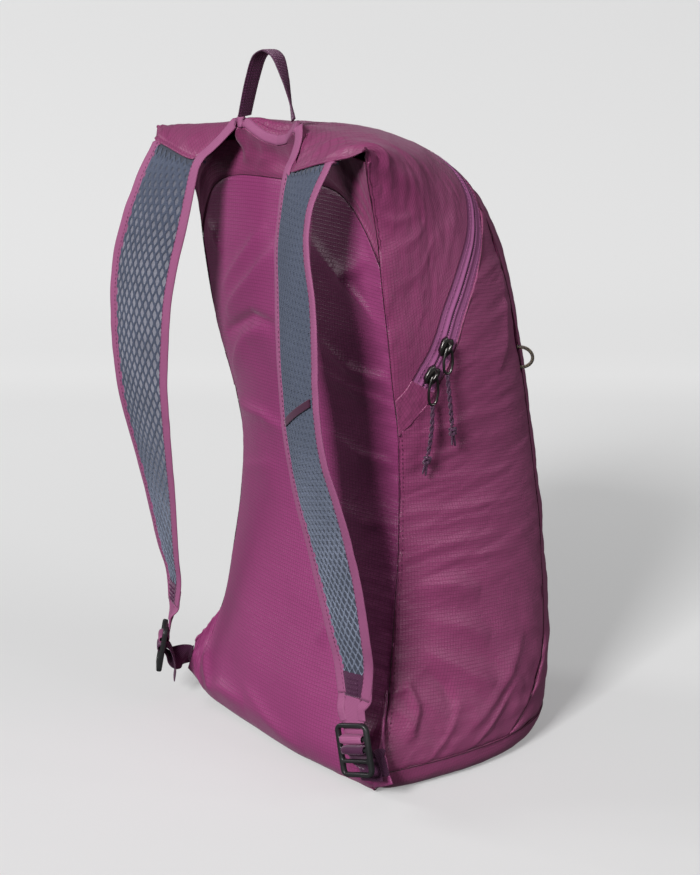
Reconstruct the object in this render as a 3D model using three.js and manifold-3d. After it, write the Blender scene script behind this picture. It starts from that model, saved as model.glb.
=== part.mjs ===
import * as THREE from "three";
import Module from "manifold-3d";

// Frame: millimetres, +Z up, the shoulder straps on the -Y side, the pack's front on +Y.
const packHeight = 444; // floor to the shoulder tips
const halfWidth = 130; // middle to a shoulder tip
const packDepth = 200; // the side seam to the front, about
const floorMiddle = 0.475 * packDepth; // the origin lies this far in front of the shoulder tips' line
const cloth = 1.2; // wall of the sewn panels
const seamGap = 0.35; // half the gap between two panels at a seam
const clearance = 0.35; // between pieces that touch
const zipBand = 20; // width of the zip with its tapes
const zipChain = 5.2;
const zipThick = 1.4;
const tapeThick = 1;
const stripEnd = 0.034; // how far round the side the strips over the zip's ends reach
const bindingWidth = 8.5;
const strapThick = 3.2;
const patchThick = 2.4;
const labelWidth = 5.2;
const labelThick = 0.8;
const neckWidth = 7;
const neckThick = 2;
const haulWidth = 13;
const haulThick = 1.6;
const webbingWidth = 18.4;
const webbingThick = 1.2;
const tabThick = 1.3;
const lockWidth = 27;
const lockLength = 37;
const lockThick = 4;
const lockSide = 3.3; // side bars of a ladder lock
const lockRail = 2.5; // its cross rails
const sliderWidth = 8.5;
const sliderLength = 12.5;
const sliderPlate = 3;
const bridgeThick = 1.8;
const ringWidth = 8.6;
const ringBar = 1.5;
const cordWidth = 3.2;
const knotWidth = 7.4;
const loopCord = 2.6;
const loopReach = 9;

const V = (x, y, z) => new THREE.Vector3(x, y, z);
const mix = (a, b, k) => a + (b - a) * k;
const blend = (p, q, k) => p.clone().lerp(q, k);
const smooth = (h) => h * h * (3 - 2 * h);
const unit = (v) => v.clone().normalize();
const side = (p, q) => p.clone().cross(q);

// A smooth curve through the points that never overshoots them.
function through(xs, ys) {
  const gap = xs.slice(1).map((x, i) => x - xs[i]);
  const rise = gap.map((g, i) => (ys[i + 1] - ys[i]) / g);
  const slope = xs.map((x, i) => {
    if (i === 0) return rise[0];
    if (i === xs.length - 1) return rise[i - 1];
    if (rise[i - 1] * rise[i] <= 0) return 0;
    const a = 2 * gap[i] + gap[i - 1];
    const b = gap[i] + 2 * gap[i - 1];
    return (a + b) / (a / rise[i - 1] + b / rise[i]);
  });
  return (x) => {
    let i = 0;
    while (i < gap.length - 1 && x > xs[i + 1]) i++;
    const k = (x - xs[i]) / gap[i];
    if (k < 0) return ys[0] + slope[0] * (x - xs[0]);
    if (k > 1) return ys[i + 1] + slope[i + 1] * (x - xs[i + 1]);
    return (
      (1 + 2 * k) * (1 - k) ** 2 * ys[i] +
      k * (1 - k) ** 2 * gap[i] * slope[i] +
      k * k * (3 - 2 * k) * ys[i + 1] +
      k * k * (k - 1) * gap[i] * slope[i + 1]
    );
  };
}

// The first column is what the others are looked up by.
function tableOf(names, rows) {
  const xs = rows.map((r) => r[0]);
  const table = {};
  names.slice(1).forEach((name, i) => {
    table[name] = through(
      xs,
      rows.map((r) => r[i + 1]),
    );
  });
  return table;
}

// level: 0 at the floor, 1 at the ridge between the shoulder tips. height and half: the side seam, as shares of packHeight and halfWidth.
// back and front: how far the side seam and the front lie in +Y, mid: the middle of the back, all as shares of packDepth. rise: the front's height.
// flare: degrees that the side leans out at its seam. reach and square: how far the side and the front run before they turn.
const body = tableOf(
  ["level", "height", "half", "back", "front", "rise", "mid", "flare", "reach", "square"],
  [
    [0.0, 0.0, 0.8, 0.065, 0.92, 0.0, 0.03, 11, 0.62, 0.74],
    [0.02, 0.007, 0.877, 0.025, 0.98, 0.007, -0.01, 10, 0.63, 0.78],
    [0.05, 0.025, 0.915, 0.005, 1.025, 0.025, -0.04, 9, 0.64, 0.8],
    [0.09, 0.059, 0.923, 0.015, 1.05, 0.061, -0.06, 8, 0.65, 0.8],
    [0.15, 0.117, 0.892, 0.06, 1.06, 0.122, -0.05, 9, 0.66, 0.8],
    [0.22, 0.191, 0.838, 0.105, 1.06, 0.203, -0.02, 10, 0.66, 0.78],
    [0.3, 0.284, 0.808, 0.135, 1.04, 0.302, 0.02, 11, 0.66, 0.76],
    [0.38, 0.374, 0.785, 0.16, 1.015, 0.399, 0.05, 11, 0.66, 0.75],
    [0.46, 0.464, 0.769, 0.17, 0.98, 0.48, 0.065, 11, 0.66, 0.74],
    [0.54, 0.554, 0.8, 0.15, 0.945, 0.561, 0.055, 10, 0.65, 0.74],
    [0.62, 0.644, 0.838, 0.105, 0.905, 0.651, 0.03, 9, 0.64, 0.74],
    [0.7, 0.73, 0.862, 0.07, 0.86, 0.745, 0.005, 8, 0.62, 0.74],
    [0.77, 0.806, 0.865, 0.045, 0.8, 0.833, 0.005, 8, 0.6, 0.72],
    [0.84, 0.878, 0.862, 0.025, 0.705, 0.91, 0.02, 9, 0.58, 0.7],
    [0.9, 0.932, 0.892, -0.015, 0.56, 0.964, 0.035, 10, 0.55, 0.66],
    [0.95, 0.973, 0.946, -0.055, 0.385, 1.002, 0.045, 10, 0.5, 0.58],
    [0.98, 0.993, 0.985, -0.075, 0.2, 1.018, 0.045, 10, 0.45, 0.5],
    [1.0, 1.0, 1.0, -0.085, 0.04, 1.018, 0.04, 10, 0.4, 0.5],
  ],
);

// t runs round the front from the right side seam (0) to the left one (1).
function frontSkin(t, level) {
  const h = 1 - Math.abs(2 * t - 1);
  const half = body.half(level) * halfWidth;
  const back = body.back(level) * packDepth;
  const front = body.front(level) * packDepth;
  const lean = THREE.MathUtils.degToRad(body.flare(level));
  const run = body.reach(level) * (front - back);
  const b = [(1 - h) ** 3, 3 * (1 - h) ** 2 * h, 3 * (1 - h) * h * h, h ** 3];
  const x =
    b[0] * half +
    b[1] * (half + run * Math.sin(lean)) +
    b[2] * body.square(level) * halfWidth;
  const y =
    b[0] * back + b[1] * (back + run * Math.cos(lean)) + (b[2] + b[3]) * front;
  const z = mix(body.height(level), body.rise(level), smooth(h)) * packHeight;
  return V(t <= 0.5 ? x : -x, y, z);
}

// s runs across the back from the left side seam (-1) to the right one (1).
function backSkin(s, level) {
  const mid = body.mid(level) * packDepth;
  const seam = body.back(level) * packDepth;
  return V(
    body.half(level) * halfWidth * s,
    mix(mid, seam, Math.abs(s) ** 2.4),
    body.height(level) * packHeight,
  );
}

// One closed body from two grids of points, rows by columns; the first lies outside.
function closedBody(outer, inner, ring) {
  const rows = outer.length;
  const cols = outer[0].length;
  const points = [...outer.flat(), ...inner.flat()];
  const faces = [];
  const id = (layer, i, j) => layer * rows * cols + i * cols + (j % cols);
  const quad = (a, b, c, d) => faces.push(a, b, c, a, c, d);
  const lastCol = ring ? cols : cols - 1;
  for (let i = 0; i < rows - 1; i++)
    for (let j = 0; j < lastCol; j++) {
      quad(id(0, i, j), id(0, i, j + 1), id(0, i + 1, j + 1), id(0, i + 1, j));
      quad(id(1, i, j), id(1, i + 1, j), id(1, i + 1, j + 1), id(1, i, j + 1));
    }
  for (let j = 0; j < lastCol; j++) {
    quad(id(0, 0, j), id(1, 0, j), id(1, 0, j + 1), id(0, 0, j + 1));
    const r = rows - 1;
    quad(id(0, r, j), id(0, r, j + 1), id(1, r, j + 1), id(1, r, j));
  }
  if (!ring)
    for (let i = 0; i < rows - 1; i++) {
      quad(id(0, i, 0), id(0, i + 1, 0), id(1, i + 1, 0), id(1, i, 0));
      const c = cols - 1;
      quad(id(0, i, c), id(1, i, c), id(1, i + 1, c), id(0, i + 1, c));
    }
  return meshData(points, faces);
}

function meshData(points, faces) {
  let volume = 0;
  for (let i = 0; i < faces.length; i += 3) {
    const [p, q, r] = [0, 1, 2].map((k) => points[faces[i + k]]);
    volume += p.dot(side(q, r));
  }
  if (volume < 0)
    for (let i = 0; i < faces.length; i += 3)
      [faces[i + 1], faces[i + 2]] = [faces[i + 2], faces[i + 1]];
  const geometry = new THREE.BufferGeometry();
  geometry.setAttribute(
    "position",
    new THREE.Float32BufferAttribute(
      points.flatMap((p) => p.toArray()),
      3,
    ),
  );
  geometry.setIndex(faces);
  geometry.computeVertexNormals();
  return geometry;
}

// A sewn panel: at(u, v) gives the outer face, and u x v points out. trim: millimetres left off at u=0, u=1, v=0, v=1.
function panel(at, us, vs, trim, thick = cloth) {
  const outer = [];
  const inner = [];
  const e = 1e-3;
  for (const v of vs) {
    const row = us.map((u) => at(u, v));
    const down = us.map((u) => {
      const [u0, u1] = [Math.max(u - e, us[0]), Math.min(u + e, us.at(-1))];
      const [v0, v1] = [Math.max(v - e, vs[0]), Math.min(v + e, vs.at(-1))];
      const n = side(at(u1, v).sub(at(u0, v)), at(u, v1).sub(at(u, v0)));
      return n.normalize().multiplyScalar(-thick);
    });
    outer.push(row);
    inner.push(row.map((p, i) => p.clone().add(down[i])));
  }
  for (const grid of [outer, inner]) {
    const [m, n] = [grid.length - 1, us.length - 1];
    const pull = (p, q, d) => p.add(unit(q.clone().sub(p)).multiplyScalar(d));
    for (const row of grid) {
      if (trim[0]) pull(row[0], row[1], trim[0]);
      if (trim[1]) pull(row[n], row[n - 1], trim[1]);
    }
    for (let i = 0; i <= n; i++) {
      if (trim[2]) pull(grid[0][i], grid[1][i], trim[2]);
      if (trim[3]) pull(grid[m][i], grid[m - 1][i], trim[3]);
    }
  }
  return closedBody(outer, inner, false);
}

const steps = (n, from = 0, to = 1) =>
  Array.from({ length: n + 1 }, (_, i) => mix(from, to, i / n));

// A solid swept through closed sections of equal point counts.
function sweep(sections) {
  const points = sections.flat();
  const n = sections[0].length;
  const faces = [];
  for (let i = 0; i < sections.length - 1; i++)
    for (let j = 0; j < n; j++) {
      const [a, b] = [i * n + j, i * n + ((j + 1) % n)];
      faces.push(a, b, b + n, a, b + n, a + n);
    }
  const last = (sections.length - 1) * n;
  for (let j = 1; j < n - 1; j++) {
    faces.push(0, j + 1, j);
    faces.push(last, last + j, last + j + 1);
  }
  return meshData(points, faces);
}

// A flat band: rows of centre and the direction of its width.
function band(rows, width, thick) {
  return sweep(
    rows.map(({ centre, across }, i) => {
      const before = rows[Math.max(i - 1, 0)].centre;
      const after = rows[Math.min(i + 1, rows.length - 1)].centre;
      const along = unit(after.clone().sub(before));
      const w = unit(across.clone().addScaledVector(along, -across.dot(along)));
      const n = unit(side(along, w)).multiplyScalar(thick / 2);
      const a = w.multiplyScalar(width / 2);
      const corner = (p, q) =>
        centre.clone().addScaledVector(a, p).addScaledVector(n, q);
      return [corner(-1, -1), corner(1, -1), corner(1, 1), corner(-1, 1)];
    }),
  );
}

function tube(points, diameter, sides = 8) {
  let normal = V(0.31, 0.52, 0.11);
  return sweep(
    points.map((p, i) => {
      const before = points[Math.max(i - 1, 0)];
      const after = points[Math.min(i + 1, points.length - 1)];
      const along = unit(after.clone().sub(before));
      normal = unit(normal.addScaledVector(along, -normal.dot(along)));
      const other = side(along, normal);
      return Array.from({ length: sides }, (_, k) => {
        const turn = (2 * Math.PI * k) / sides;
        return p
          .clone()
          .addScaledVector(normal, (Math.cos(turn) * diameter) / 2)
          .addScaledVector(other, (Math.sin(turn) * diameter) / 2);
      });
    }),
  );
}

// A plate with holes, drawn in millimetres and set up in the frame of a, b and their normal.
function plate(outline, holes, thick, origin, a, b) {
  const shape = new THREE.Shape(outline.map((p) => new THREE.Vector2(...p)));
  for (const hole of holes)
    shape.holes.push(new THREE.Path(hole.map((p) => new THREE.Vector2(...p))));
  const geometry = new THREE.ExtrudeGeometry(shape, {
    depth: thick,
    bevelEnabled: false,
    steps: 1,
  });
  geometry.translate(0, 0, -thick / 2);
  const n = side(a, b);
  const frame = new THREE.Matrix4().makeBasis(a, b, n).setPosition(origin);
  return geometry.applyMatrix4(frame);
}

// A rectangle with cut or rounded corners, centred on x and y.
function rounded(x, y, w, l, r, n = 2) {
  const points = [];
  for (const [sx, sy, from] of [
    [1, 1, 0],
    [-1, 1, 90],
    [-1, -1, 180],
    [1, -1, 270],
  ])
    for (let k = 0; k <= n; k++) {
      const turn = THREE.MathUtils.degToRad(from + (90 * k) / n);
      points.push([
        x + sx * (w / 2 - r) + r * Math.cos(turn),
        y + sy * (l / 2 - r) + r * Math.sin(turn),
      ]);
    }
  return points;
}

const wasm = await Module();
wasm.setup();
const { Manifold, Mesh } = wasm;

function solid(geometry) {
  const g = geometry.index ? geometry.toNonIndexed() : geometry;
  const position = g.getAttribute("position");
  const seen = new Map();
  const vertices = [];
  const faces = [];
  for (let i = 0; i < position.count; i++) {
    const p = [position.getX(i), position.getY(i), position.getZ(i)];
    const key = p.map((c) => Math.round(c * 1e4)).join();
    if (!seen.has(key)) {
      seen.set(key, seen.size);
      vertices.push(...p);
    }
    faces.push(seen.get(key));
  }
  return new Manifold(
    new Mesh({
      numProp: 3,
      vertProperties: new Float32Array(vertices),
      triVerts: new Uint32Array(faces),
    }),
  );
}

function union(...geometries) {
  const made = Manifold.union(geometries.map(solid)).getMesh();
  const geometry = new THREE.BufferGeometry();
  geometry.setAttribute(
    "position",
    new THREE.Float32BufferAttribute(made.vertProperties, 3),
  );
  geometry.setIndex([...made.triVerts]);
  geometry.computeVertexNormals();
  return geometry;
}

const looks = {
  body: [0x7a3a63, 0.55],
  lobes: [0x82406b, 0.55],
  binding: [0xa85a8a, 0.7],
  tape: [0x94558a, 0.65],
  mesh: [0x5a6479, 0.85],
  chain: [0x5a2c55, 0.6],
  webbing: [0x4a1c42, 0.8],
  plastic: [0x28282a, 0.45],
  metal: [0x5b5d62, 0.35],
  cord: [0x3a2234, 0.75],
  label: [0x3b3340, 0.8],
};

const pack = new THREE.Group();
pack.name = "packable_backpack";

function add(name, look, geometry) {
  const [color, roughness] = looks[look];
  const material = new THREE.MeshStandardMaterial({
    color,
    roughness,
    metalness: look === "metal" ? 0.9 : 0,
  });
  material.name = look;
  const mesh = new THREE.Mesh(geometry, material);
  mesh.name = name;
  mesh.position.y = -floorMiddle;
  pack.add(mesh);
}

const mirrored = (p, sign) => V(p.x * sign, p.y, p.z);

// The zip's middle line on the front skin: t against level, the same on both sides.
const zipLevel = through(
  [0, 0.03, 0.05, 0.066, 0.08, 0.1, 0.122, 0.142, 0.192, 0.218, 0.31, 0.42, 0.5],
  [0.572, 0.602, 0.63, 0.652, 0.675, 0.71, 0.7375, 0.76, 0.8075, 0.8325, 0.89, 0.922, 0.93],
);

// t and level of the point that lies offset mm above the zip's middle line.
function besideZip(t, offset) {
  if (t > 0.5) {
    const [a, b] = besideZip(1 - t, offset);
    return [1 - a, b];
  }
  const level = zipLevel(t);
  const at = Math.max(t, 0);
  const e = 1e-3;
  const p = frontSkin(at, level);
  const dt = frontSkin(at + e, level).sub(p).divideScalar(e);
  const dl = frontSkin(at, level + e).sub(p).divideScalar(e);
  const slope = t > 0.497 ? 0 : (zipLevel(at + e) - zipLevel(at)) / e;
  const along = unit(dt.clone().addScaledVector(dl, slope));
  const normal = unit(side(dt, dl));
  const up = side(normal, along).multiplyScalar(offset);
  const [a, b, c] = [dt.dot(dt), dt.dot(dl), dl.dot(dl)];
  const [d, f] = [up.dot(dt), up.dot(dl)];
  const det = a * c - b * b;
  return [t + (d * c - f * b) / det, level + (a * f - b * d) / det];
}

// The t at which a line beside the zip meets the side seam.
function zipStart(offset) {
  let [low, high] = [-0.06, 0.06];
  for (let i = 0; i < 40; i++) {
    const middle = (low + high) / 2;
    if (besideZip(middle, offset)[0] < 0) low = middle;
    else high = middle;
  }
  return high;
}
const hoodStart = zipStart(zipBand / 2);
const sideStart = zipStart(-zipBand / 2);

const baseLevel = 0.07;
const cornerLine = through(
  [0, 0.08, 0.18, 0.4, 0.62, 0.8, 1],
  [0.176, 0.225, 0.262, 0.268, 0.258, 0.246, 0.238],
); // t of the seam between side and front

const cornerTop = 0.245; // t on the zip's line where that seam ends

// The panels below the zip: v from the base seam to the zip's lower edge.
function lowerPanel(from, to, fromSeam, toSeam) {
  const [topA, topB] = [from ?? sideStart, to ?? 1 - sideStart];
  return (u, v) => {
    const [tTop, levelTop] = besideZip(mix(topA, topB, u), -zipBand / 2);
    const tLow = mix(fromSeam(0), toSeam(0), u);
    const straight = mix(tLow, tTop, v);
    const bendA = fromSeam(v) - mix(fromSeam(0), fromSeam(1), v);
    const bendB = toSeam(v) - mix(toSeam(0), toSeam(1), v);
    const t = straight + mix(bendA, bendB, u);
    return frontSkin(
      Math.min(Math.max(t, 0), 1),
      mix(baseLevel, levelTop, v),
    );
  };
}
const cornerEnd = besideZip(cornerTop, -zipBand / 2)[0];
const corner = (v) => cornerLine(v) + (cornerEnd - cornerLine(1)) * v;
const seamRight = () => 0;
const seamLeft = () => 1;
const cornerLeft = (v) => 1 - corner(v);
const panelRows = steps(15);

add(
  "side_panel_right",
  "body",
  panel(
    lowerPanel(null, cornerTop, seamRight, corner),
    steps(9),
    panelRows,
    [0, seamGap, seamGap, seamGap],
  ),
);
add(
  "side_panel_left",
  "body",
  panel(
    lowerPanel(1 - cornerTop, null, cornerLeft, seamLeft),
    steps(9),
    panelRows,
    [seamGap, 0, seamGap, seamGap],
  ),
);
add(
  "front_panel",
  "body",
  panel(
    lowerPanel(cornerTop, 1 - cornerTop, corner, cornerLeft),
    steps(12),
    panelRows,
    [seamGap, seamGap, seamGap, seamGap],
  ),
);

// Where the hood ends on the back, by how far round the ridge: shares of halfWidth, packDepth and packHeight.
const hem = tableOf(
  ["round", "x", "y", "z"],
  [
    [0.0, 0.99, -0.095, 0.994],
    [0.2, 0.926, -0.122, 0.986],
    [0.35, 0.869, -0.148, 0.982],
    [0.5, 0.723, -0.154, 0.9735],
    [0.6, 0.615, -0.154, 0.966],
    [0.68, 0.53, -0.15, 0.96],
    [0.74, 0.482, -0.138, 0.9575],
    [0.78, 0.454, -0.095, 0.973],
    [0.82, 0.419, -0.052, 0.992],
    [0.86, 0.36, -0.02, 1.011],
    [0.9, 0.28, 0.01, 1.026],
    [0.94, 0.17, 0.018, 1.014],
    [1.0, 0.0, 0.03, 1.004],
  ],
);
function hoodEdge(t) {
  const h = 1 - Math.abs(2 * t - 1);
  const x = hem.x(h) * halfWidth * (t <= 0.5 ? 1 : -1);
  return V(x, hem.y(h) * packDepth, hem.z(h) * packHeight);
}
const ridgeAt = 0.76; // v of the ridge on the hood
function hoodSkin(u, v) {
  const [t0, level0] = besideZip(mix(hoodStart, 1 - hoodStart, u), zipBand / 2);
  if (v <= ridgeAt) {
    const k = v / ridgeAt;
    const t = mix(t0, u, smooth(Math.min(k * 1.2, 1)));
    return frontSkin(t, mix(level0, 1, k));
  }
  const k = (v - ridgeAt) / (1 - ridgeAt);
  const ridge = frontSkin(u, 1);
  const edge = hoodEdge(u);
  const out = blend(ridge, edge, k);
  out.z += 1.6 * Math.sin(Math.PI * k); // the cloth stays a little full over the ridge
  return out;
}
add(
  "hood_panel",
  "body",
  panel(
    hoodSkin,
    steps(44),
    [0, 0.08, 0.17, 0.27, 0.37, 0.47, 0.56, 0.64, 0.71, ridgeAt, 0.84, 0.92, 1],
    [0, 0, seamGap, 0.6],
  ),
);

// The arch-shaped seam across the back, as a level.
const archLevel = (s) => 0.9 - 0.118 * Math.abs(s) ** 5;
const acrossHalf = [0.14, 0.25, 0.32, 0.39, 0.5, 0.64, 0.8, 0.92, 1];
const acrossBack = [...acrossHalf.map((s) => -s).reverse(), 0, ...acrossHalf];
const backEdge = 3; // keeps the back inside the side panels' walls
add(
  "back_panel",
  "body",
  panel(
    (u, v) =>
      backSkin(u * (1 - 0.024 * (1 - v) ** 24), mix(0.024, archLevel(u), v)),
    acrossBack,
    [0, 0.03, 0.08, 0.16, 0.25, 0.35, 0.45, 0.55, 0.65, 0.75, 0.85, 0.93, 1],
    [backEdge, backEdge, 0, seamGap],
  ),
);
// The neckline: from one strap up to the haul loop's foot, through the dip, and up again.
const neck = tableOf(
  ["x", "y", "z", "tilt"],
  [
    [0.0, 0.014, 0.9915, 78],
    [0.1, 0.006, 0.996, 74],
    [0.17, -0.007, 1.006, 66],
    [0.235, -0.017, 1.0155, 58],
    [0.292, -0.024, 1.016, 45],
    [0.338, -0.042, 1.003, 25],
    [0.373, -0.066, 0.987, 12],
    [0.408, -0.1, 0.97, 4],
    [0.43, -0.128, 0.959, 0],
  ],
);
const neckEnd = 0.43;
function neckRow(x) {
  const share = Math.abs(x);
  const lean = THREE.MathUtils.degToRad(neck.tilt(share));
  const across = V(Math.sign(x) * Math.cos(lean), 0.15, Math.sin(lean));
  // at the middle the width stands straight up
  across.x *= Math.min(share / 0.19, 1);
  return {
    centre: V(x * halfWidth, neck.y(share) * packDepth, neck.z(share) * packHeight),
    across,
  };
}

// The cloth between the shoulders runs from the arch up to the neck binding and meets it edge to edge; beside the neckline it ends at the back's top.
function upperBack(u, v) {
  const level = 0.968 - 0.012 * u * u;
  const top = backSkin(u, level);
  const share = top.x / halfWidth;
  const near = Math.min(Math.max((0.41 - Math.abs(share)) / 0.1, 0), 1);
  const at = Math.sign(share) * Math.min(Math.abs(share), neckEnd);
  const row = neckRow(at);
  const run = unit(neckRow(at + 1e-3).centre.sub(row.centre));
  row.across.addScaledVector(run, -row.across.dot(run));
  const edge = row.centre.addScaledVector(
    unit(row.across),
    -neckWidth / 2 - clearance - 1.5 * cloth,
  );
  const p = backSkin(u, mix(archLevel(u), level, v));
  return p.addScaledVector(edge.sub(top), smooth(near) * v * v);
}
add(
  "upper_back_panel",
  "body",
  panel(
    upperBack,
    acrossBack,
    [0, 0.3, 0.55, 0.74, 0.88, 1],
    [backEdge, backEdge, seamGap, 0],
  ),
);

// The base: the floor in rings, then the edge that stands up to the base seam, and a low lip under the back.
const baseRound = [
  ...[0, 0.03, 0.07, 0.12, 0.17, 0.215, 0.26, 0.31, 0.37, 0.43, 0.5].map((t) => ["f", t]),
  ...[0.57, 0.63, 0.69, 0.74, 0.785, 0.83, 0.88, 0.93, 0.97, 1].map((t) => ["f", t]),
  ...[-0.95, -0.7, -0.4, 0, 0.4, 0.7, 0.95].map((s) => ["b", s]),
];
function baseSolid() {
  const skin = ([where, k], level) =>
    where === "f" ? frontSkin(k, level) : backSkin(k, level);
  const middle = V(0, floorMiddle, 0);
  const outer = [];
  const inner = [];
  for (const share of [0.35, 0.72]) {
    const ring = baseRound.map((c) => blend(middle, skin(c, 0), share));
    outer.push(ring);
    inner.push(ring.map((p) => V(p.x, p.y, cloth)));
  }
  const rim = baseRound.map((c) => skin(c, 0));
  outer.push(rim);
  inner.push(rim.map((p) => blend(middle, p, 0.99).setZ(cloth)));
  const inward = (c, level) => {
    const p = skin(c, level);
    const e = 1e-3;
    const k = Math.min(Math.max(c[1], c[0] === "f" ? e : -1 + e), 1 - e);
    const du = skin([c[0], k + e], level).sub(skin([c[0], k - e], level));
    const dv = skin(c, level + e).sub(skin(c, Math.max(level - e, 0)));
    return p.addScaledVector(unit(side(du, dv)), -cloth);
  };
  for (const share of [0.3, 0.6, 1]) {
    const level = (c) => share * (c[0] === "f" ? baseLevel : 0.02);
    outer.push(
      baseRound.map((c) => {
        const p = skin(c, level(c));
        if (share === 1) p.z -= seamGap;
        return p;
      }),
    );
    inner.push(
      baseRound.map((c) => {
        const p = inward(c, level(c));
        if (share === 1) p.z -= seamGap;
        p.z = Math.max(p.z, cloth * (1 + share));
        return p;
      }),
    );
  }
  // The floor's middle closes each side with a fan.
  const rows = outer.length;
  const cols = baseRound.length;
  const points = [...outer.flat(), ...inner.flat(), middle, V(0, floorMiddle, cloth)];
  const faces = [];
  const id = (layer, i, j) => layer * rows * cols + i * cols + (j % cols);
  for (let j = 0; j < cols; j++) {
    for (let i = 0; i < rows - 1; i++) {
      const q = [id(0, i, j), id(0, i, j + 1), id(0, i + 1, j + 1), id(0, i + 1, j)];
      faces.push(q[0], q[1], q[2], q[0], q[2], q[3]);
      const w = [id(1, i, j), id(1, i + 1, j), id(1, i + 1, j + 1), id(1, i, j + 1)];
      faces.push(w[0], w[1], w[2], w[0], w[2], w[3]);
    }
    const r = rows - 1;
    faces.push(id(0, r, j), id(0, r, j + 1), id(1, r, j + 1));
    faces.push(id(0, r, j), id(1, r, j + 1), id(1, r, j));
    faces.push(points.length - 2, id(0, 0, j + 1), id(0, 0, j));
    faces.push(points.length - 1, id(1, 0, j), id(1, 0, j + 1));
  }
  return meshData(points, faces);
}
add("base_panel", "body", baseSolid());

// The zip: two tapes, the chain between them, and a plain strip over each end.
function zipSkin(low, high, from, to) {
  return (u, v) => {
    const [t, level] = besideZip(mix(from, to, u), mix(low, high, v));
    return frontSkin(Math.min(Math.max(t, 0), 1), level);
  };
}
const tapeEdge = zipBand / 2 - 0.6;
const chainHalf = zipChain / 2;
const zipSteps = 40;
add(
  "zip_tape_upper",
  "tape",
  panel(
    zipSkin(chainHalf + 0.4, tapeEdge, stripEnd, 1 - stripEnd),
    steps(zipSteps),
    [0, 1],
    [0.4, 0.4, 0, 0],
    tapeThick,
  ),
);
add(
  "zip_tape_lower",
  "tape",
  panel(
    zipSkin(-tapeEdge, -chainHalf - 0.4, stripEnd, 1 - stripEnd),
    steps(zipSteps),
    [0, 1],
    [0.4, 0.4, 0, 0],
    tapeThick,
  ),
);
add(
  "zip_chain",
  "chain",
  panel(
    zipSkin(-chainHalf, chainHalf, stripEnd, 1 - stripEnd),
    steps(zipSteps),
    [0, 1],
    [0.4, 0.4, 0, 0],
    zipThick,
  ),
);
function stripSkin(u, v) {
  const offset = mix(-tapeEdge, tapeEdge, v);
  const [t, level] = besideZip(mix(zipStart(offset), stripEnd, u), offset);
  return frontSkin(Math.max(t, 0), level);
}
add(
  "zip_end_strip_right",
  "body",
  panel(stripSkin, steps(4), steps(2), [0, 0.4, 0.3, 0.3]),
);
add(
  "zip_end_strip_left",
  "body",
  panel(
    (u, v) => mirrored(stripSkin(1 - u, v), -1),
    steps(4),
    steps(2),
    [0.4, 0, 0.3, 0.3],
  ),
);

// A spot on the skin with its own directions: out of the skin, and straight down along it.
function spot(t, level, lift) {
  const e = 1e-3;
  const p = frontSkin(t, level);
  const dt = frontSkin(t + e, level).sub(p);
  const dl = frontSkin(t, level + e).sub(p);
  const out = unit(side(dt, dl));
  const down = V(0, 0, -1);
  down.addScaledVector(out, -down.dot(out)).normalize();
  return { at: p.addScaledVector(out, lift), out, down };
}

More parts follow.
